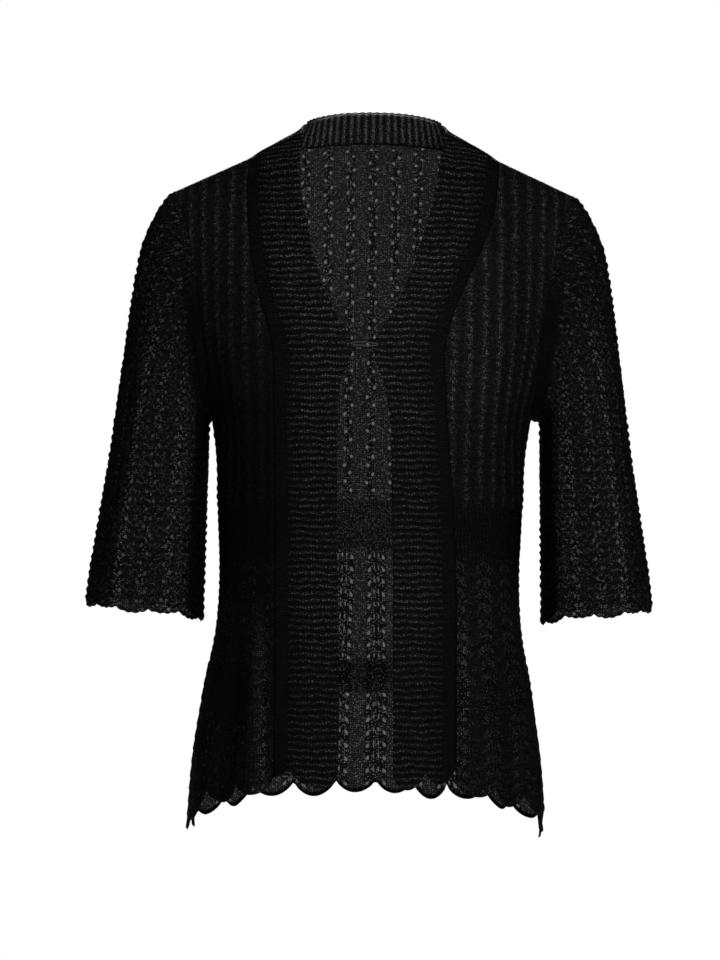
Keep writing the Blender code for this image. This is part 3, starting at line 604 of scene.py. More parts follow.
def upperHeight(x, out, rise, back):
    spread = np.abs(x) * form["shoulderX"] / out
    top = shoulderZ(spread)
    if back:
        share = np.sin(pi / 2.0 * np.maximum(0.0, 1.0 - spread / form["neckX"])) ** form["backNeckRound"]
        top = np.where(spread < form["neckX"], neckHeight + form["backNeckRise"] * share, top)
    return mix(form["underarmZ"], top, rise)


def skirtPlaces(angle, down, back):
    around = 1.0 - angle / pi if back else angle / pi
    z = mix(form["underarmZ"], hemTips(around) + panels["hemFrom"] * panels["lobeDepth"], down)
    return sectionX(angle, z), z


def frontAngle(share, down, side):
    z = mix(form["underarmZ"], form["skirtEndZ"], down)
    return mix(sectionAngle(seamLine(z, side), z), pi / 2.0, share)


def panelPlaces(share, rise, side, back):  # rise runs from -1 at the skirt's end to 1 at the shoulder
    down = np.maximum(0.0, -rise)
    angle = share * pi / 2.0 if back else frontAngle(share, down, side)
    lowX, lowZ = skirtPlaces(angle, down, back)
    up = np.maximum(0.0, rise)
    z = mix(form["underarmZ"], form["shoulderZ"], up)
    outer = armholeLine(z)
    if back:
        inner = np.zeros_like(z)
        neck = panels["neckColumns"]
        level = np.interp(share, [0.0, neck, 1.0], [0.0, form["neckX"], form["shoulderX"]])
        level = level * outer / form["shoulderX"]
    else:
        inner = seamLine(mix(form["underarmZ"], neckHeight, up), side)
        level = mix(inner, outer, share)
    byAngle = sectionX(mix(sectionAngle(inner, z), sectionAngle(outer, z), share), z)
    x = mix(byAngle, level, up)
    return np.where(rise <= 0, lowX, x), np.where(rise <= 0, lowZ, upperHeight(x, outer, up, back))


def sectionRun(x, z, back):  # distance round the section, by which the columns hang straight
    heights = np.linspace(*panels["runHeights"])
    turns = np.linspace(0.0, pi / 2.0, panels["runTurns"])
    wide = bodyWidth(heights)[:, None]
    deep = (backDepth if back else frontDepth)(heights)[:, None]
    power = 2.0 / form["sectionPower"]
    line = np.stack([wide * np.sin(turns) ** power, deep * np.cos(turns) ** power], axis=-1)
    run = travelled(line, 1)
    row = np.interp(-z, -heights, np.arange(len(heights)))
    column = np.interp(sectionAngle(x, z), turns, np.arange(len(turns)))
    r = np.minimum(row.astype(int), len(heights) - 2)
    c = np.minimum(column.astype(int), len(turns) - 2)
    low = mix(run[r, c], run[r, c + 1], column - c)
    high = mix(run[r + 1, c], run[r + 1, c + 1], column - c)
    return mix(low, high, row - r)


# Soft creases: where each starts and ends (across, along), half width, rise (a trough is below 0)
creases = {
    "front": (
        (-104, -400, -109, -640, 7, 3.0), (-121, -385, -129, -640, 9, -2.6), (92, -400, 101, -640, 7, 2.4),
        (-168, -150, -122, -300, 9, -2.4), (-150, -118, -112, -262, 10, 1.6), (116, -395, 123, -640, 9, -2.4),
        (137, -430, 143, -640, 6, 2.0), (161, -145, 128, -280, 8, -2.1), (140, -112, 108, -235, 9, 1.3),
    ),
    "back": (
        (-121, -382, -131, -660, 9, -3.0), (-70, -402, -76, -660, 10, 2.4), (-15, -372, -18, -660, 9, -1.8),
        (48, -392, 52, -660, 10, 2.1), (101, -378, 109, -660, 9, -3.0), (150, -118, 88, -282, 12, -2.2),
        (-156, -131, -97, -268, 11, -1.9), (128, -150, 70, -262, 9, 1.3), (-60, -60, -48, -210, 12, 1.0),
    ),
    "sleeve": (  # turns round the sleeve, and along it
        (0.125, 0.5, 0.105, 2.1, 0.022, -2.6), (0.205, 0.6, 0.17, 2.1, 0.03, 2.0),
        (0.30, 0.9, 0.29, 2.1, 0.02, -1.6), (0.365, 0.75, 0.375, 2.1, 0.02, 1.4),
        (0.88, 0.55, 0.9, 2.1, 0.022, -2.5), (0.81, 0.7, 0.83, 2.1, 0.03, 1.9),
        (0.71, 1.0, 0.69, 2.1, 0.02, -1.8), (0.635, 0.8, 0.625, 2.1, 0.02, 1.4),
        (0.33, 0.2, 0.41, 0.85, 0.025, -1.6), (0.68, 0.22, 0.6, 0.9, 0.025, -1.5),
    ),
}
paintedLight = {  # painted light: how brightly each piece is painted, by height
    "frontRight": ((-640, 0.16), (-240, 0.15), (-190, 0.6), (-150, 1.15), (-110, 1.3), (40, 1.2)),
    "frontLeft": (
        (-640, 1.0), (-420, 1.2), (-350, 0.7), (-250, 1.2), (-210, 1.85), (-110, 1.85), (-60, 1.3), (40, 1.3),
    ),
    "band": (
        (-640, 0.85), (-500, 0.6), (-410, 1.0), (-340, 0.7), (-250, 0.95), (-130, 1.3), (-40, 1.0), (40, 1.0),
    ),
}


def tabled(rows, z):  # straight between a table's rows
    return np.interp(z, *zip(*rows))


def creaseLift(name, across, along):
    lift = np.zeros_like(across)
    start = panels["creaseStart"]
    stop, fall = panels["creaseStop"]
    for fromAcross, fromAlong, toAcross, toAlong, wide, rise in creases[name]:
        share = (along - fromAlong) / (toAlong - fromAlong)
        middle = mix(fromAcross, toAcross, np.clip(share, 0.0, 1.0))
        lift += rise * bell((across - middle) / wide) * ease(share / start) * ease((stop - share) / fall)
    return lift


# Painted shade in the fold at each armpit, painted light fading toward the fronts' side seams, and painted
# light down bright flutes
paintedShading = {
    "armpitShade": ((-256, 160), (-214, 164), (-161, 171), (-110, 176)),  # height, distance from the middle
    "armpitWide": 9.0,
    "armpitEnds": ((-95.0, 50.0), (-300.0, 40.0)),
    "sleeveSide": (7.0, 8.0),
    "backShare": 0.8,
    "sideLight": 0.6,  # what is left of the painted light toward a front's side seam
    "sideFrom": (105.0, 30.0, -60.0, 80.0),
    "flutesTop": (-405.0, 60.0),
    "rightFlute": (-97.0, 5.5, 2.2),  # painted light down a flute: place, half width, how bright
    "rightSlant": 0.02,
    "leftFlute": (87.0, 5.0, 1.1),
    "leftEnd": (-560.0, 60.0),
}


def armpitShade(x, z):  # painted shade in the fold between sleeve and body: how dark a panel and a sleeve are painted
    past = np.abs(x) - tabled(paintedShading["armpitShade"], z)
    (top, fade), (bottom, rise) = paintedShading["armpitEnds"]
    level = ease((top - z) / fade) * ease((z - bottom) / rise)
    reach, wide = paintedShading["sleeveSide"]
    return bell(past / paintedShading["armpitWide"]) * level, ease((reach - past) / wide) * level


def panelShading(x, z, back):  # the painted light on the lace, and the painted shade in its folds
    if back:
        return np.ones_like(x), paintedShading["backShare"] * armpitShade(x, z)[0]
    lit = np.where(x < 0, tabled(paintedLight["frontRight"], z), tabled(paintedLight["frontLeft"], z))
    out, wide, low, tall = paintedShading["sideFrom"]
    lit = lit * mix(1.0, paintedShading["sideLight"], ease((np.abs(x) - out) / wide) * ease((low - z) / tall))
    place, wide, bright = paintedShading["rightFlute"]
    flutes = bright * bell((x - place + (z - form["skirtEndZ"]) * paintedShading["rightSlant"]) / wide)
    place, wide, bright = paintedShading["leftFlute"]
    low, tall = paintedShading["leftEnd"]
    flutes = flutes + bright * bell((x - place) / wide) * ease((z - low) / tall)
    top, tall = paintedShading["flutesTop"]
    return lit + flutes * ease((top - z) / tall), armpitShade(x, z)[0]


def lobePlaces(run, count, back):  # which lobe a point is in, by its distance round the section
    place = (run - run[:, :1]) / (run[:, -1:] - run[:, :1]) * count
    shift, many = panels["lobeShift"]
    return place + back * shift * bell((place - count / 2.0) / many)


def makePanel(name, share, side, back, drops, material):
    skirt = np.linspace(-1.0, 0.0, panels["skirtRows"] + 1)[:-1]
    rise = np.concatenate([skirt, np.linspace(0.0, 1.0, panels["upperRows"] + 1)])
    share, rise = np.meshgrid(share, rise)
    x, z = panelPlaces(share, rise, side, back)
    angle = sectionAngle(x[:1], z[:1])
    tips = hemTips(1.0 - angle / pi if back else angle / pi)
    tipRun = sectionRun(sectionX(angle, tips), tips, back) * side
    hemZ = hemHeight(tips, lobePlaces(tipRun, len(drops), back), drops)
    low = mix(z[:1], hemZ, np.linspace(0.0, 1.0, panels["hemRows"] + 1)[1:, None])[::-1]
    lowX = sectionX(np.broadcast_to(angle, low.shape), low)
    x = np.concatenate([np.repeat(sectionX(angle, hemZ), edgeRows, axis=0), lowX, x]) * side
    z = np.concatenate([hemZ - np.array(hemEdge["drops"])[:, None], low, z])
    middle = clothMiddle(x, z, back)
    normals = bodyNormal(x, z, back)
    run = travelled(middle, 0)
    underarm = panels["hemRows"] + edgeRows + panels["skirtRows"]
    waistZ = panels["backWaistZ" if back else "frontWaistZ"]
    v = run - run[underarm] + form["underarmZ"] - waistZ
    u = sectionRun(x, z, back) * np.sign(x)
    lobe = lobePlaces(u, len(drops), back)
    fromHem = run - run[edgeRows - 1]
    relief = hemRoll(fromHem, bodyKnit(u, v, lobe, not back)[0])
    acrossRun = travelled(middle, 1)
    fromSeam = np.minimum(acrossRun, acrossRun[:, -1:] - acrossRun)
    fade = ease(fromSeam / panels["fade"]) * ease((run[-1] - run) / panels["fade"])
    soft = creaseLift("back" if back else "front", x, z) * ease(fromSeam / panels["creaseFade"])
    off, wide = panels["knotsAt"]
    bumps = knots(z, *panels["knots"]) * bell((fromSeam - off) / wide)
    soft = soft + bumps * (z < form["underarmZ"]) * (np.abs(x) > panels["knotsBeyond"])
    sides = (0, 1, 1, 1)
    lift = padded(relief * fade + soft + panels["lift"], sides)
    lift[:, 0] = lift[:, -1] = lift[-1] = -panels["turnIn"]
    layers = sheetLayers(*panelShading(x, z, back), u, v, lobe, fromHem, sides)
    under = tucked(middle, sides, panels["reach"])
    return makeSheet(name, under, padded(normals, sides), lift, layers, material)


def makeFront(name, side, material):
    share = np.linspace(0.0, 1.0, panels["frontColumns"] + 1)
    drops = panels["leftDrops" if side > 0 else "rightDrops"]
    return makePanel(name, share, side, False, drops, material)


def makeBack(material):
    across = np.linspace(1.0, -1.0, panels["backColumns"] + 1)
    side = np.where(across >= 0, 1.0, -1.0)
    return makePanel("backPanel", np.abs(across), side, True, panels["backDrops"], material)


# Sleeves
sleeves = {
    "outer": (  # height, distance from the middle
        (-31, 187), (-36, 194), (-46, 201.5), (-58, 208), (-77, 216), (-96, 221), (-133, 227),
        (-171, 232), (-209, 237), (-247, 242), (-285, 247), (-323, 253), (-361, 259), (-399, 265),
        (-440, 269),
    ),
    "innerRight": (155.4, 158.5, 16.0),  # at the underarm, at the cuff, how far down it turns
    "innerLeft": (162.0, 165.0, 4.0),
    "armholeDepth": 56.0,
    "middleDepth": 60.0,
    "cuffDepth": 67.0,
    "cuffZ": -418.0,
    "lobeDepths": (5.0, 2.6, 4.6, 3.0, 5.6, 3.4, 5.2, 2.8, 4.4, 3.2, 5.8),
    "lobeRound": 0.6,
    "ripple": 1.1,
    "edge": 6.0,
    "slope": 4.0,
    "corner": 7.0,
    "forward": 4.0,
    "crowding": 1.35,
    "columns": 208,
    "capRows": 110,
    "armRows": 100,
    "cuffRows": 9,
    "lines": 16,
    "lift": 0.2,
    "turnIn": 1.2,
    "reach": 1.2,
    "capEnd": 0.006,  # the seam at the armhole
    "knots": (1.1, 0.9, 27.0),
    "knotsWide": 0.06,
    "knotsFrom": (0.15, 0.2),
    "light": (0.42, 0.22, 0.85),  # painted light: along the edges, added in the middle, and on the lit columns
    "litFrom": (0.2, 0.1),  # where the painted light begins, inward from the outer edge: right and left sleeve
    "litAcross": (0.12, 0.9, 0.08),  # how soon it is full, where it ends, how soon it is gone
    "litDown": (0.25, 0.5),
    "innerDark": (0.9, 0.85, 0.06),  # painted shade along the inner edge: how dark, where it begins, how soon it is full
    "innerDown": (0.35, 0.3),
    "outerDark": (0.5, 0.2),  # painted shade along the outer edge, on the right and left sleeve
    "outerAcross": (0.04, 0.1),
    "columnsLit": ((0.3, 0.06, 0.7), (0.78, 0.07, 0.6)),  # painted light down bright columns: place, half width, how bright
}
sleeveLine = smoothCurve(sleeves["outer"])


def armholeRing(turn):  # the armhole's edge, down the front and up the back
    back = turn > 0.5
    climb = (1.0 + np.cos(2.0 * pi * turn)) / 2.0
    z = mix(form["underarmZ"], form["shoulderZ"], climb)
    x = armholeLine(z)
    front = bodyPoint(x, z, False)
    behind = bodyPoint(x, z, True)
    front[..., 1] += form["seamHalf"]
    behind[..., 1] -= form["seamHalf"]
    return np.where(back[..., None], behind, front)


def sleeveOval(along, turn, inner):
    cap = np.minimum(1.0, along)
    arm = np.maximum(0.0, along - 1.0)
    low = form["underarmZ"] - inner[2]

    def down(onCap, atUnderarm, atCuff):  # by the cap's own curve, then straight to the cuff
        return np.where(along <= 1.0, onCap, mix(atUnderarm, atCuff, arm))

    outerZ = down(mix(form["shoulderZ"], low, cap ** sleeves["crowding"]), low, sleeves["cuffZ"])
    top = float(armholeLine(form["underarmZ"]))
    innerX = down(mix(inner[0], top, (1.0 - cap) ** 2), inner[0], inner[1])
    innerZ = down(form["underarmZ"] - inner[2] * cap**2, low, sleeves["cuffZ"])
    outerX = sleeveLine(outerZ)
    deep = mix(sleeves["armholeDepth"], sleeves["middleDepth"], cap)
    deep = down(deep, sleeves["middleDepth"], sleeves["cuffDepth"])
    swing = np.cos(2.0 * pi * turn)
    x = (outerX + innerX) / 2.0 + (outerX - innerX) / 2.0 * swing
    z = (outerZ + innerZ) / 2.0 + (outerZ - innerZ) / 2.0 * swing
    y = form["sideY"] - sleeves["forward"] * arm - deep * np.sin(2.0 * pi * turn)
    return np.stack([x, y, z], axis=-1)


def sleevePoint(along, turn, inner):
    keep = (np.maximum(0.0, 1.0 - along) ** 2)[..., None]
    start = sleeveOval(np.zeros_like(along), turn, inner)
    return sleeveOval(along, turn, inner) + (armholeRing(turn) - start) * keep


def sleeveShading(along, turn, points, side):  # painted light where it faces the light, painted shade along both edges and in the armpit
    inward = (1.0 - np.cos(2.0 * pi * turn)) / 2.0
    isLeft = int(side > 0)
    start = sleeves["litFrom"][isLeft]
    over, end, fade = sleeves["litAcross"]
    middle = ease((inward - start) / over) * ease((end - inward) / fade)
    low, tall = sleeves["litDown"]
    lower = ease((along - low) / tall)
    columns = sum(bright * bell((inward - place) / wide) for place, wide, bright in sleeves["columnsLit"])
    least, added, onColumns = sleeves["light"]
    lit = least + (added + onColumns * columns) * middle * lower
    dark, place, wide = sleeves["innerDark"]
    low, tall = sleeves["innerDown"]
    edge = dark * ease((inward - place) / wide) * ease((along - low) / tall)
    past, wide = sleeves["outerAcross"]
    outer = sleeves["outerDark"][isLeft] * ease((start + past - inward) / wide) * lower
    return lit, np.maximum(np.maximum(edge, outer), armpitShade(points[..., 0], points[..., 2])[1])


def makeSleeve(name, side, material):
    inner = sleeves["innerLeft" if side > 0 else "innerRight"]
    turns = np.arange(sleeves["columns"]) / sleeves["columns"]
    rows = sleeves["cuffRows"] + edgeRows
    arm = np.linspace(2.0, 1.0, sleeves["armRows"] + 1)[:-1]
    cap = np.linspace(1.0, sleeves["capEnd"], sleeves["capRows"])
    turn, along = np.meshgrid(turns, np.concatenate([np.full(rows, 2.0), arm, cap]))
    middle = sleevePoint(along, turn, inner)
    depths = np.array(sleeves["lobeDepths"])
    lobe = turns * len(depths)
    inward = -np.cos(2.0 * pi * turns)
    fall = sleeves["edge"] + depths[lobe.astype(int)] * np.abs(np.sin(pi * lobe)) ** sleeves["lobeRound"]
    fall = fall + sleeves["ripple"] * np.abs(np.sin(4.0 * pi * lobe))
    fall = fall + sleeves["slope"] * inward + sleeves["corner"] * np.maximum(0.0, inward) ** 8
    drop = np.concatenate([np.ones(edgeRows), np.linspace(1.0, 0.0, sleeves["cuffRows"] + 1)[:-1]])
    roll = np.concatenate([hemEdge["drops"], np.zeros(sleeves["cuffRows"])])
    middle[:rows, :, 2] -= roll[:, None] + drop[:, None] * fall
    middle[..., 0] *= side
    normals = gridNormals(middle, closed=True)
    normals = normals * np.sign(normals[len(along) // 2, 0, 0] * side)
    normals[:rows] = normals[rows]
    run = travelled(middle, 0)
    around = travelled(np.concatenate([middle, middle[:, :1]], axis=1), 1)
    whole = sleeves["lines"] * knit["column"]
    u = around[:, :-1] / around[:, -1:] * whole
    v = run - run[rows]
    fromHem = run - run[edgeRows - 1]
    relief = hemRoll(fromHem, sleeveKnit(u, v)[0])
    edges = bell((turn - 0.5) / sleeves["knotsWide"]) + bell(wrapped(turn, 1.0) / sleeves["knotsWide"])
    low, tall = sleeves["knotsFrom"]
    bumps = knots(middle[..., 2], *sleeves["knots"]) * edges * ease((along - low) / tall)
    soft = creaseLift("sleeve", turn, along) + bumps
    sides = (0, 1, 0, 0)
    lift = padded(relief * ease((run[-1] - run) / panels["fade"]) + soft + sleeves["lift"], sides)
    lift[-1] = -sleeves["turnIn"]
    layers = sheetLayers(*sleeveShading(along, turn, middle, side), u, v, lobe, fromHem, sides)
    laps = {"fold": (0.0, 0.0), "knit": (whole * mm, 0.0), "look": (float(len(depths)), 0.0)}
    under = tucked(middle, sides, sleeves["reach"])
    return makeSheet(name, under, padded(normals, sides), lift, layers, material, laps)


# The front band: up one front, round the neck and down the other
def frontEdge(side):  # a front's edge at the band, hem first
    rise = np.linspace(-1.0, 1.0, 1200)
    x, z = panelPlaces(np.zeros_like(rise), rise, side, False)
    angle = frontAngle(np.zeros(1), 1.0, side)
    hemZ = hemTips(angle / pi) + panels["lobeDepth"]
    return np.concatenate([sectionX(angle, hemZ), x]) * side, np.concatenate([hemZ, z])


def bandLines():  # the seam's points and normals, the band's middle and its free edge
    rightX, rightZ = frontEdge(-1.0)
    leftX, leftZ = frontEdge(1.0)
    neckX = np.linspace(-form["neckX"], form["neckX"], 900)[1:-1]
    neckZ = upperHeight(neckX, np.full_like(neckX, form["shoulderX"]), 1.0, True)
    parts = ((rightX, rightZ, False), (neckX, neckZ, True), (leftX[::-1], leftZ[::-1], False))
    seam = np.concatenate([clothMiddle(*part) for part in parts])
    normals = np.concatenate([bodyNormal(*part) for part in parts])
    run = travelled(seam, 0)
    count = len(rightX)
    stations = []
    for name, side, line, place in (("right", -1.0, seam, run), ("left", 1.0, seam[::-1], run[::-1])):
        for seamX, seamZ, edgeX, edgeZ in bands[name]:
            i = int(round(np.interp(seamZ, line[:count, 2], np.arange(count))))
            edge = clothMiddle(np.array(edgeX * side), np.array(float(edgeZ)))
            middle = clothMiddle((line[i, 0] + edge[0]) / 2.0, (line[i, 2] + edgeZ) / 2.0)
            stations.append((place[i], *middle, *edge))
    for x, middle, edge in bands["collar"]:
        for side in (-1.0, 1.0) if x else (1.0,):
            i = count + int(round(np.interp(side * x, neckX, np.arange(len(neckX)))))
            stations.append((run[i], middle[0] * side, *middle[1:], edge[0] * side, *edge[1:]))
    curves = np.stack([smoothCurve(stations, column, 6000)(run) for column in range(1, 7)], axis=-1)
    return seam, normals, curves[:, :3], curves[:, 3:], (count, count + len(neckX))


def bandGrid():  # points, normals, how far along and across, the collar's two ends
    seam, seamNormals, middles, edges, joints = bandLines()

    def across(share):
        return (
            seam * ((1.0 - share) * (1.0 - 2.0 * share)) + middles * (4.0 * share * (1.0 - share))
            + edges * (share * (2.0 * share - 1.0))
        )

    def atRows(line):
        return np.stack([np.interp(at, ribLine, line[:, k]) for k in range(3)], axis=-1)

    ribLine = travelled(across(bands["measured"]), 0)
    rows = int(round(ribLine[-1] / bands["step"]))
    at = np.linspace(0.0, ribLine[-1], rows + 1)
    shares = np.linspace(0.0, 1.0, bands["columns"] + 1)
    middle = np.stack([atRows(across(share)) for share in shares], axis=1)
    normals = gridNormals(middle)
    normals = normals * -np.sign(normals[rows // 8, len(shares) // 2, 1])
    nearSeam, atSeam = [np.clip(1.0 - shares / near, 0.0, 1.0)[:, None] for near in bands["near"]]
    normals = unit(mix(normals, unit(atRows(seamNormals))[:, None, :], nearSeam))
    middle = middle + unit(middle[:, 1] - middle[:, 0])[:, None, :] * bands["gap"] * atSeam
    return middle, normals, at[:, None], shares, ribLine[list(joints)]


def ribCount(at, shares, height, onCollar, joints):  # level on the fronts, upright on the collar
    whole = at[-1]
    fromJoint = np.where(at < whole / 2.0, at - joints[0], joints[1] - at)
    low, tall, before, slope = bands["fan"]
    level = (height - height.min()) / bands["ribPitch"]
    level = level + ease((height - low) / tall) * (fromJoint + before) * slope
    for swing, acrossTurns, length in bands["waver"]:
        level = level + swing * np.sin(acrossTurns * shares + at / length)
    return np.where(onCollar, (at - whole / 2.0) / bands["collarPitch"], level)


def makeBand(material):
    middle, normals, at, shares, joints = bandGrid()
    whole = at[-1]
    toHem = np.minimum(at, whole - at)
    lobe = np.where(at < whole / 2.0, np.sin(pi * (shares - 0.25) / 0.75), np.sin(2.0 * pi * shares))
    notch = 1.0 - np.abs(lobe) ** panels["lobeRound"]
    middle[..., 2] += panels["lobeDepth"] * notch * np.clip(1.0 - toHem / bands["lobesTall"], 0.0, 1.0)
    height = middle[..., 2]
    onCollar = (at > joints[0]) & (at < joints[1])
    fromJoint = np.minimum(np.abs(at - joints[0]), np.abs(at - joints[1]))
    phase = ribCount(at, shares, height, onCollar, joints)
    strip = ease((shares - bands["strip"]) / bands["stripEdge"])
    off, wide = bands["ribsFromHem"]
    onRibs = np.where(onCollar, 1.0, strip) * ease((toHem - off) / wide)
    off, wide = bands["ribsFromJoint"]
    onRibs = onRibs * ease((fromJoint - off) / wide)
    relief = bands["ribHeight"] * (0.5 - 0.5 * np.cos(2.0 * pi * phase)) * onRibs
    high, off, wide = bands["hemBead"]
    relief = relief + high * (1.0 - ease((toHem - off) / wide))
    fromSeam = travelled(middle, 1)
    sides = (2, 2, 1, 3)
    points = padded(middle, sides)
    lift = padded(relief * ease(fromSeam / bands["ribsFromSeam"]) + panels["lift"], sides)
    lift[:, 0] = -panels["turnIn"]
    outward = unit(points[:, -4] - points[:, -6])
    for k, (out, back) in enumerate(bands["edgeRoll"]):
        points[:, -3 + k] = points[:, -4] + outward * out
        lift[:, -3 + k] = lift[:, -4] * bands["rolledShare"] - back
    for k, (out, back) in enumerate(bands["hemRoll"]):
        for row, last in ((1 - k, 2), (k - 2, -3)):
            points[row, :, 2] -= out
            lift[row] = lift[last] - back
    # Painted light by height, painted shade on the strip, painted light on the collar, painted shade along
    # the joints and the neck seam
    least, wide = bands["stripLight"]
    lit = tabled(paintedLight["band"], height) * mix(least, 1.0, ease((shares - bands["strip"]) / wide))
    lit = np.where(onCollar, bands["collarLight"], lit)
    shade = np.maximum(bell(fromJoint / bands["jointWide"]), onCollar * bell(fromSeam / bands["jointWide"]))
    layers = sheetLayers(lit, shade, fromSeam, phase * bands["ribPitch"], onCollar + shares, toHem, sides)
    return makeSheet("neckBand", points, padded(normals, sides), lift, layers, material)


# Materials
yarn = {
    "dark": (0.0011, 0.0011, 0.00115, 1.0),
    "light": (0.12, 0.12, 0.124, 1.0),
    "roughness": 0.6,
    "specular": 0.012,
    "glints": 0.56,  # glint specks of yarn to a millimetre, painted as highlights in the colour
    "speckEdge": (0.06, 0.39),
    "speckTone": (0.03, 1.6),
    "frontPaintedEyeletLight": 0.075,  # painted light in an eyelet, which shows where cloth lies behind it
    "sleevePaintedEyeletLight": 0.375,
    "holeOpen": 0.1,  # light that passes a lace hole, crossed by yarn
    "clothOpen": 0.002,  # light that passes everywhere between stitches
    "stitchOpen": 0.1,  # and where single stitches lie wider
    "bump": 0.0012,
    "wale": 2.3,
    "course": 2.0,
    "groove": 2.3,  # of the band's plain strip
    "glintTight": 0.85,  # how close they lie up the cloth, against across it
    "fineApart": (40.0, 0.95),  # how far aside the fine specks lie, and how many against the glints
    "rolled": (2.5, 5.0),  # from the hem: no light passes its edge row
    "raised": (-0.4, 1.1),  # painted shade by relief: the relief of the darkest and the lightest yarn
    "raisedLeast": 0.04,
    "plainTone": (0.05, 0.4),  # loops, and fine specks that are painted highlights
    "laceTone": (0.15, 1.35),  # painted glints: everywhere, and more in the lace
    "leastTone": 0.002,
    "denseTone": 0.4,  # how much darker close knitting is
    "denseClosed": 0.6,  # and how much less light passes it
    # how open an eyelet is where its painted light begins and where it is full
    "paintedEyeletLight": (0.2, 0.8),
    "ring": (0.0, 0.15, 0.3, 0.6),  # the closed ring of yarn round an eyelet
    "between": (0.15, 1.0),  # loops and fine specks that light passes in plain knitting
    "heights": (0.4, 0.6),  # loops, glints
}
rib = {  # the band's yarn
    "blend": 0.03,
    "dashes": (0.5, 0.75),  # painted highlights in dashes: how close they lie along a rib, against across it; how many to a millimetre
    "fine": (0.8, 0.85),  # the other way: how close across the ribs
    "fineHeight": 0.4,
    "grooveHeight": 0.5,
    "uneven": (2.0, 0.06),
    # painted light on the rib crests and painted shade between them: what is left in the hollows
    "crestLeast": 0.06,
    "ribTone": (0.015, 1.1, 0.35),  # everywhere, painted highlight dashes, painted fine specks
    "unevenTone": (0.3, 1.3),
    # painted shade in the strip's grooves
    "grooveTone": (0.3, 0.7),
    "stripTone": (0.008, 0.17),  # everywhere, fine specks
    "seamDark": 0.05,
}


def yarnShader(name):
    fixed = {"Roughness": yarn["roughness"], "Specular IOR Level": yarn["specular"]}
    shader = materialShader(name, fixed)
    u, v = shader.pair("knit")
    return shader, u * 1000.0, v * 1000.0, *shader.pair("look"), *shader.pair("fold")


def yarned(shader, tone, height):  # colours the yarn, its painted light and shade included, and raises it
    shader.feed("Base Color", shader.blend(tone, yarn["dark"], yarn["light"]))
    shader.bumps(height, yarn["bump"])
    return shader.holder


def stitches(u, v):  # small V-shaped loops in upright wales
    side = absolute(wrapped(u, yarn["wale"])) / yarn["wale"] * 2.0
    loop = 0.5 + 0.5 * cosine(2.0 * pi * (v / yarn["course"] + 0.45 * side))
    return loop * (1.0 - 0.6 * side)


def specks(shader, u, v, scale):  # round glints of yarn with dark between them: painted highlights in the colour, also used for bumps and open stitches
    distance, own = shader.cells(shader.vector(u, v), scale)
    least, more = yarn["speckTone"]
    return (1.0 - ramp(distance, *yarn["speckEdge"])) * (least + more * own * own * own)


def knitMaterial(name, pattern, paintedEyeletLight):
    shader, u, v, lobe, edge, lit, shade = yarnShader(name)
    relief, holes, dense, lacy = pattern(u, v, lobe)
    loops = stitches(u, v)
    glints = specks(shader, u, v * yarn["glintTight"], yarn["glints"])
    aside, many = yarn["fineApart"]
    fine = specks(shader, u + aside, v, yarn["glints"] * many)
    rolled = 1.0 - ramp(edge * 1000.0, *yarn["rolled"])
    raised = ramp(relief, *yarn["raised"])
    onLoops, onFine = yarn["plainTone"]
    least, more = yarn["laceTone"]
    ground = (onLoops * loops + onFine * fine) * (1.0 - lacy) + glints * (least + more * lacy)
    ground = ground + yarn["leastTone"]
    least = yarn["raisedLeast"]
    # painted shade in the relief's low parts and painted light by height and place, then painted shade in the
    # folds
    tone = ground * (least + (1.0 - least) * raised * raised) * lit * (1.0 - yarn["denseTone"] * dense)
    # painted light in the eyelets
    tone = tone + paintedEyeletLight * lit * holes * ramp(holes, *yarn["paintedEyeletLight"])
    tone = tone * (1.0 - shade)
    ring = ramp(holes, *yarn["ring"][:2]) * (1.0 - ramp(holes, *yarn["ring"][2:]))
    onLoops, onFine = yarn["between"]
    between = lacy * (1.0 - ring) * glints + (1.0 - lacy) * (onLoops * loops + onFine * fine)
    passes = yarn["clothOpen"] + yarn["stitchOpen"] * between + yarn["holeOpen"] * holes * holes
    passes = passes * (1.0 - yarn["denseClosed"] * dense) * (1.0 - rolled)
    shader.feed("Alpha", 1.0 - passes)
    onLoops, onGlints = yarn["heights"]
    return yarned(shader, tone, loops * onLoops + glints * onGlints)


def bandMaterial():
    shader, u, v, share, edge, lit, shade = yarnShader("ribbed band yarn")
    onRibs = ramp(share, bands["strip"], bands["strip"] + rib["blend"])
    tight, many = rib["dashes"]
    dashes = specks(shader, u * tight, v, many)
    tight, many = rib["fine"]
    fine = specks(shader, u, v * tight, many)
    crest = 0.5 - 0.5 * cosine(2.0 * pi * v / bands["ribPitch"])
    grooves = 0.5 + 0.5 * cosine(2.0 * pi * v / yarn["groove"])
    height = onRibs * (dashes + fine * rib["fineHeight"]) + (1.0 - onRibs) * grooves * rib["grooveHeight"]
    tight, many = rib["uneven"]
    uneven = shader.noise(shader.vector(u, v * tight), many)
    least, onDashes, onFine = rib["ribTone"]
    ribs = least + onDashes * dashes + onFine * fine
    least, more = rib["unevenTone"]
    # painted light on the rib crests, painted shade between them
    ribs = (rib["crestLeast"] + (1.0 - rib["crestLeast"]) * crest * crest) * ribs * (least + more * uneven)
    least, more = rib["grooveTone"]
    tone, onFine = rib["stripTone"]
    plain = (least + more * grooves) * (tone + onFine * fine) * ramp(share, 0.0, rib["seamDark"])
    tone = (onRibs * ribs + (1.0 - onRibs) * plain) * lit * (1.0 - shade)
    return yarned(shader, tone, height)


def sleevePattern(u, v, lobe):
    relief, holes, lacy = sleeveKnit(u, v)
    return relief, holes, 0.0 * holes, 0.55 + 0.45 * lacy


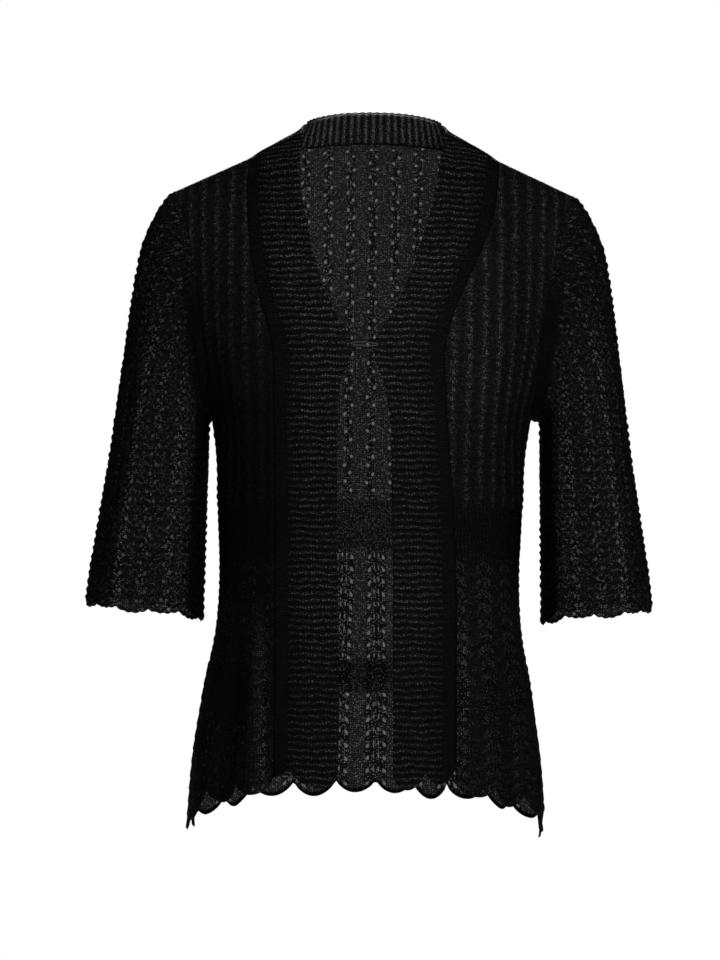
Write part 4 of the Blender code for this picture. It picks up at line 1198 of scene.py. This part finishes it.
frontLace = knitMaterial("front lace yarn", lambda *place: bodyKnit(*place, True), yarn["frontPaintedEyeletLight"])
backLace = knitMaterial("back lace yarn", lambda *place: bodyKnit(*place, False), 0.0)
sleeveLace = knitMaterial("sleeve lace yarn", sleevePattern, yarn["sleevePaintedEyeletLight"])
ribKnit = bandMaterial()
print("yarns ready")

sheets = (
    makeFront("frontRight", -1.0, frontLace), makeFront("frontLeft", 1.0, frontLace), makeBack(backLace),
    makeSleeve("sleeveRight", -1.0, sleeveLace), makeSleeve("sleeveLeft", 1.0, sleeveLace), makeBand(ribKnit),
)
cut = {  # the solid that a sheet replaces, its flat size and area, its slot
    "frontRight": ("front_right", (0.17, 0.63), 0.067, "lace_knit"),
    "frontLeft": ("front_left", (0.19, 0.63), 0.075, "lace_knit"),
    "backPanel": ("back", (0.50, 0.66), 0.260, "lace_knit"),
    "sleeveRight": ("sleeve_right", (0.385, 0.42), 0.110, "lace_knit"),
    "sleeveLeft": ("sleeve_left", (0.385, 0.42), 0.110, "lace_knit"),
    "neckBand": ("front_band", (0.063, 1.52), 0.092, "rib_knit"),
}
for piece in sheets:
    node, flat, area, slotName = cut[piece.name]
    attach(piece, "root")
    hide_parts(node)
print("cloth in place")

# Hook and thread loop
trim = {
    "wire": (0.012, 0.012, 0.013, 1.0),
    "wireRoughness": 0.4,
    "wireGrain": 900.0,
    "thread": (0.0015, 0.0015, 0.0016, 1.0),
    "threadGrain": 1600.0,
    "threadBump": 0.0004,
}


def wireMaterial():
    shader = materialShader("dark hook wire", {"Metallic": 1.0, "Base Color": trim["wire"]})
    shader.feed("Roughness", trim["wireRoughness"] + 0.2 * shader.grain(trim["wireGrain"]))
    return shader.holder


def threadMaterial():
    shader = materialShader("loop thread", {"Roughness": 0.6, "Base Color": trim["thread"]})
    shader.bumps(shader.grain(trim["threadGrain"]), trim["threadBump"])
    return shader.holder


for node, material in (("hook", wireMaterial()), ("thread_loop", threadMaterial())):
    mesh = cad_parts[node].data
    mesh.materials.clear()
    mesh.materials.append(material)
    mesh.shade_smooth()

# Studio
studio = {
    "floorZ": -1.36,
    "floorRadius": 3.2,
    "floorTones": ((0.86, 0.86, 0.86, 1.0), (0.9, 0.9, 0.9, 1.0)),
    "cameraPlace": (-0.0133, -2.8, -0.304),
    "shownHigh": 0.912,  # metres of height in the picture, at the garment
    "sensor": 36.0,
    "world": 0.04,
    "aim": (0.0, 0.0, -0.3),
    "lamps": (  # place, size, watts
        ((0.9, -2.5, 0.5), 0.9, 62.0),
        ((-0.5, -2.6, 0.3), 0.9, 22.0),
        ((0.0, -0.9, 2.1), 0.8, 14.0),
        ((0.0, 2.6, 0.8), 1.2, 60.0),
    ),
}


def placed(name, data, place):
    thing = bpy.data.objects.new(name, data)
    bpy.context.scene.collection.objects.link(thing)
    thing.location = place
    return thing


def makeStudio():
    bpy.ops.mesh.primitive_circle_add(
        vertices=96, radius=studio["floorRadius"], fill_type="NGON", location=(0, 0, studio["floorZ"])
    )
    floor = bpy.context.object
    floor.name = "studioFloor"
    fixed = {"Roughness": 0.9, "Specular IOR Level": 0.1, "Emission Strength": 0.45}
    pale = materialShader("pale floor", fixed)
    tone = pale.blend(pale.grain(3.0), *studio["floorTones"])
    pale.feed("Base Color", tone)
    pale.feed("Emission Color", tone)
    floor.data.materials.append(pale.holder)
    for i, (place, size, watts) in enumerate(studio["lamps"]):
        lamp = bpy.data.lights.new("softbox%d" % i, "AREA")
        lamp.shape = "DISK"
        lamp.size = size
        lamp.energy = watts
        toGarment = Vector(studio["aim"]) - Vector(place)
        placed(lamp.name, lamp, place).rotation_euler = toGarment.to_track_quat("-Z", "Y").to_euler()
    world = bpy.data.worlds.new("white studio")
    bpy.context.scene.world = world
    sky = Shader(world, "Background", {"Color": (1.0, 1.0, 1.0, 1.0)})
    seen = sky.node("ShaderNodeLightPath", {}, {}, "Is Camera Ray")
    sky.feed("Strength", sky.node("ShaderNodeMix", {}, {0: seen, 2: studio["world"], 3: 1.0}, 0))
    view = bpy.context.scene.view_settings
    view.view_transform = "Standard"
    view.look = "None"


def makeCamera():
    lens = bpy.data.cameras.new("camera")
    lens.sensor_width = studio["sensor"]
    lens.lens = studio["sensor"] * -studio["cameraPlace"][1] / studio["shownHigh"]
    lens.clip_end = 40.0
    camera = placed("camera", lens, studio["cameraPlace"])
    camera.rotation_euler = (radians(90.0), 0.0, 0.0)
    bpy.context.scene.camera = camera


makeStudio()
makeCamera()
print("studio ready")

bpy.context.view_layer.update()
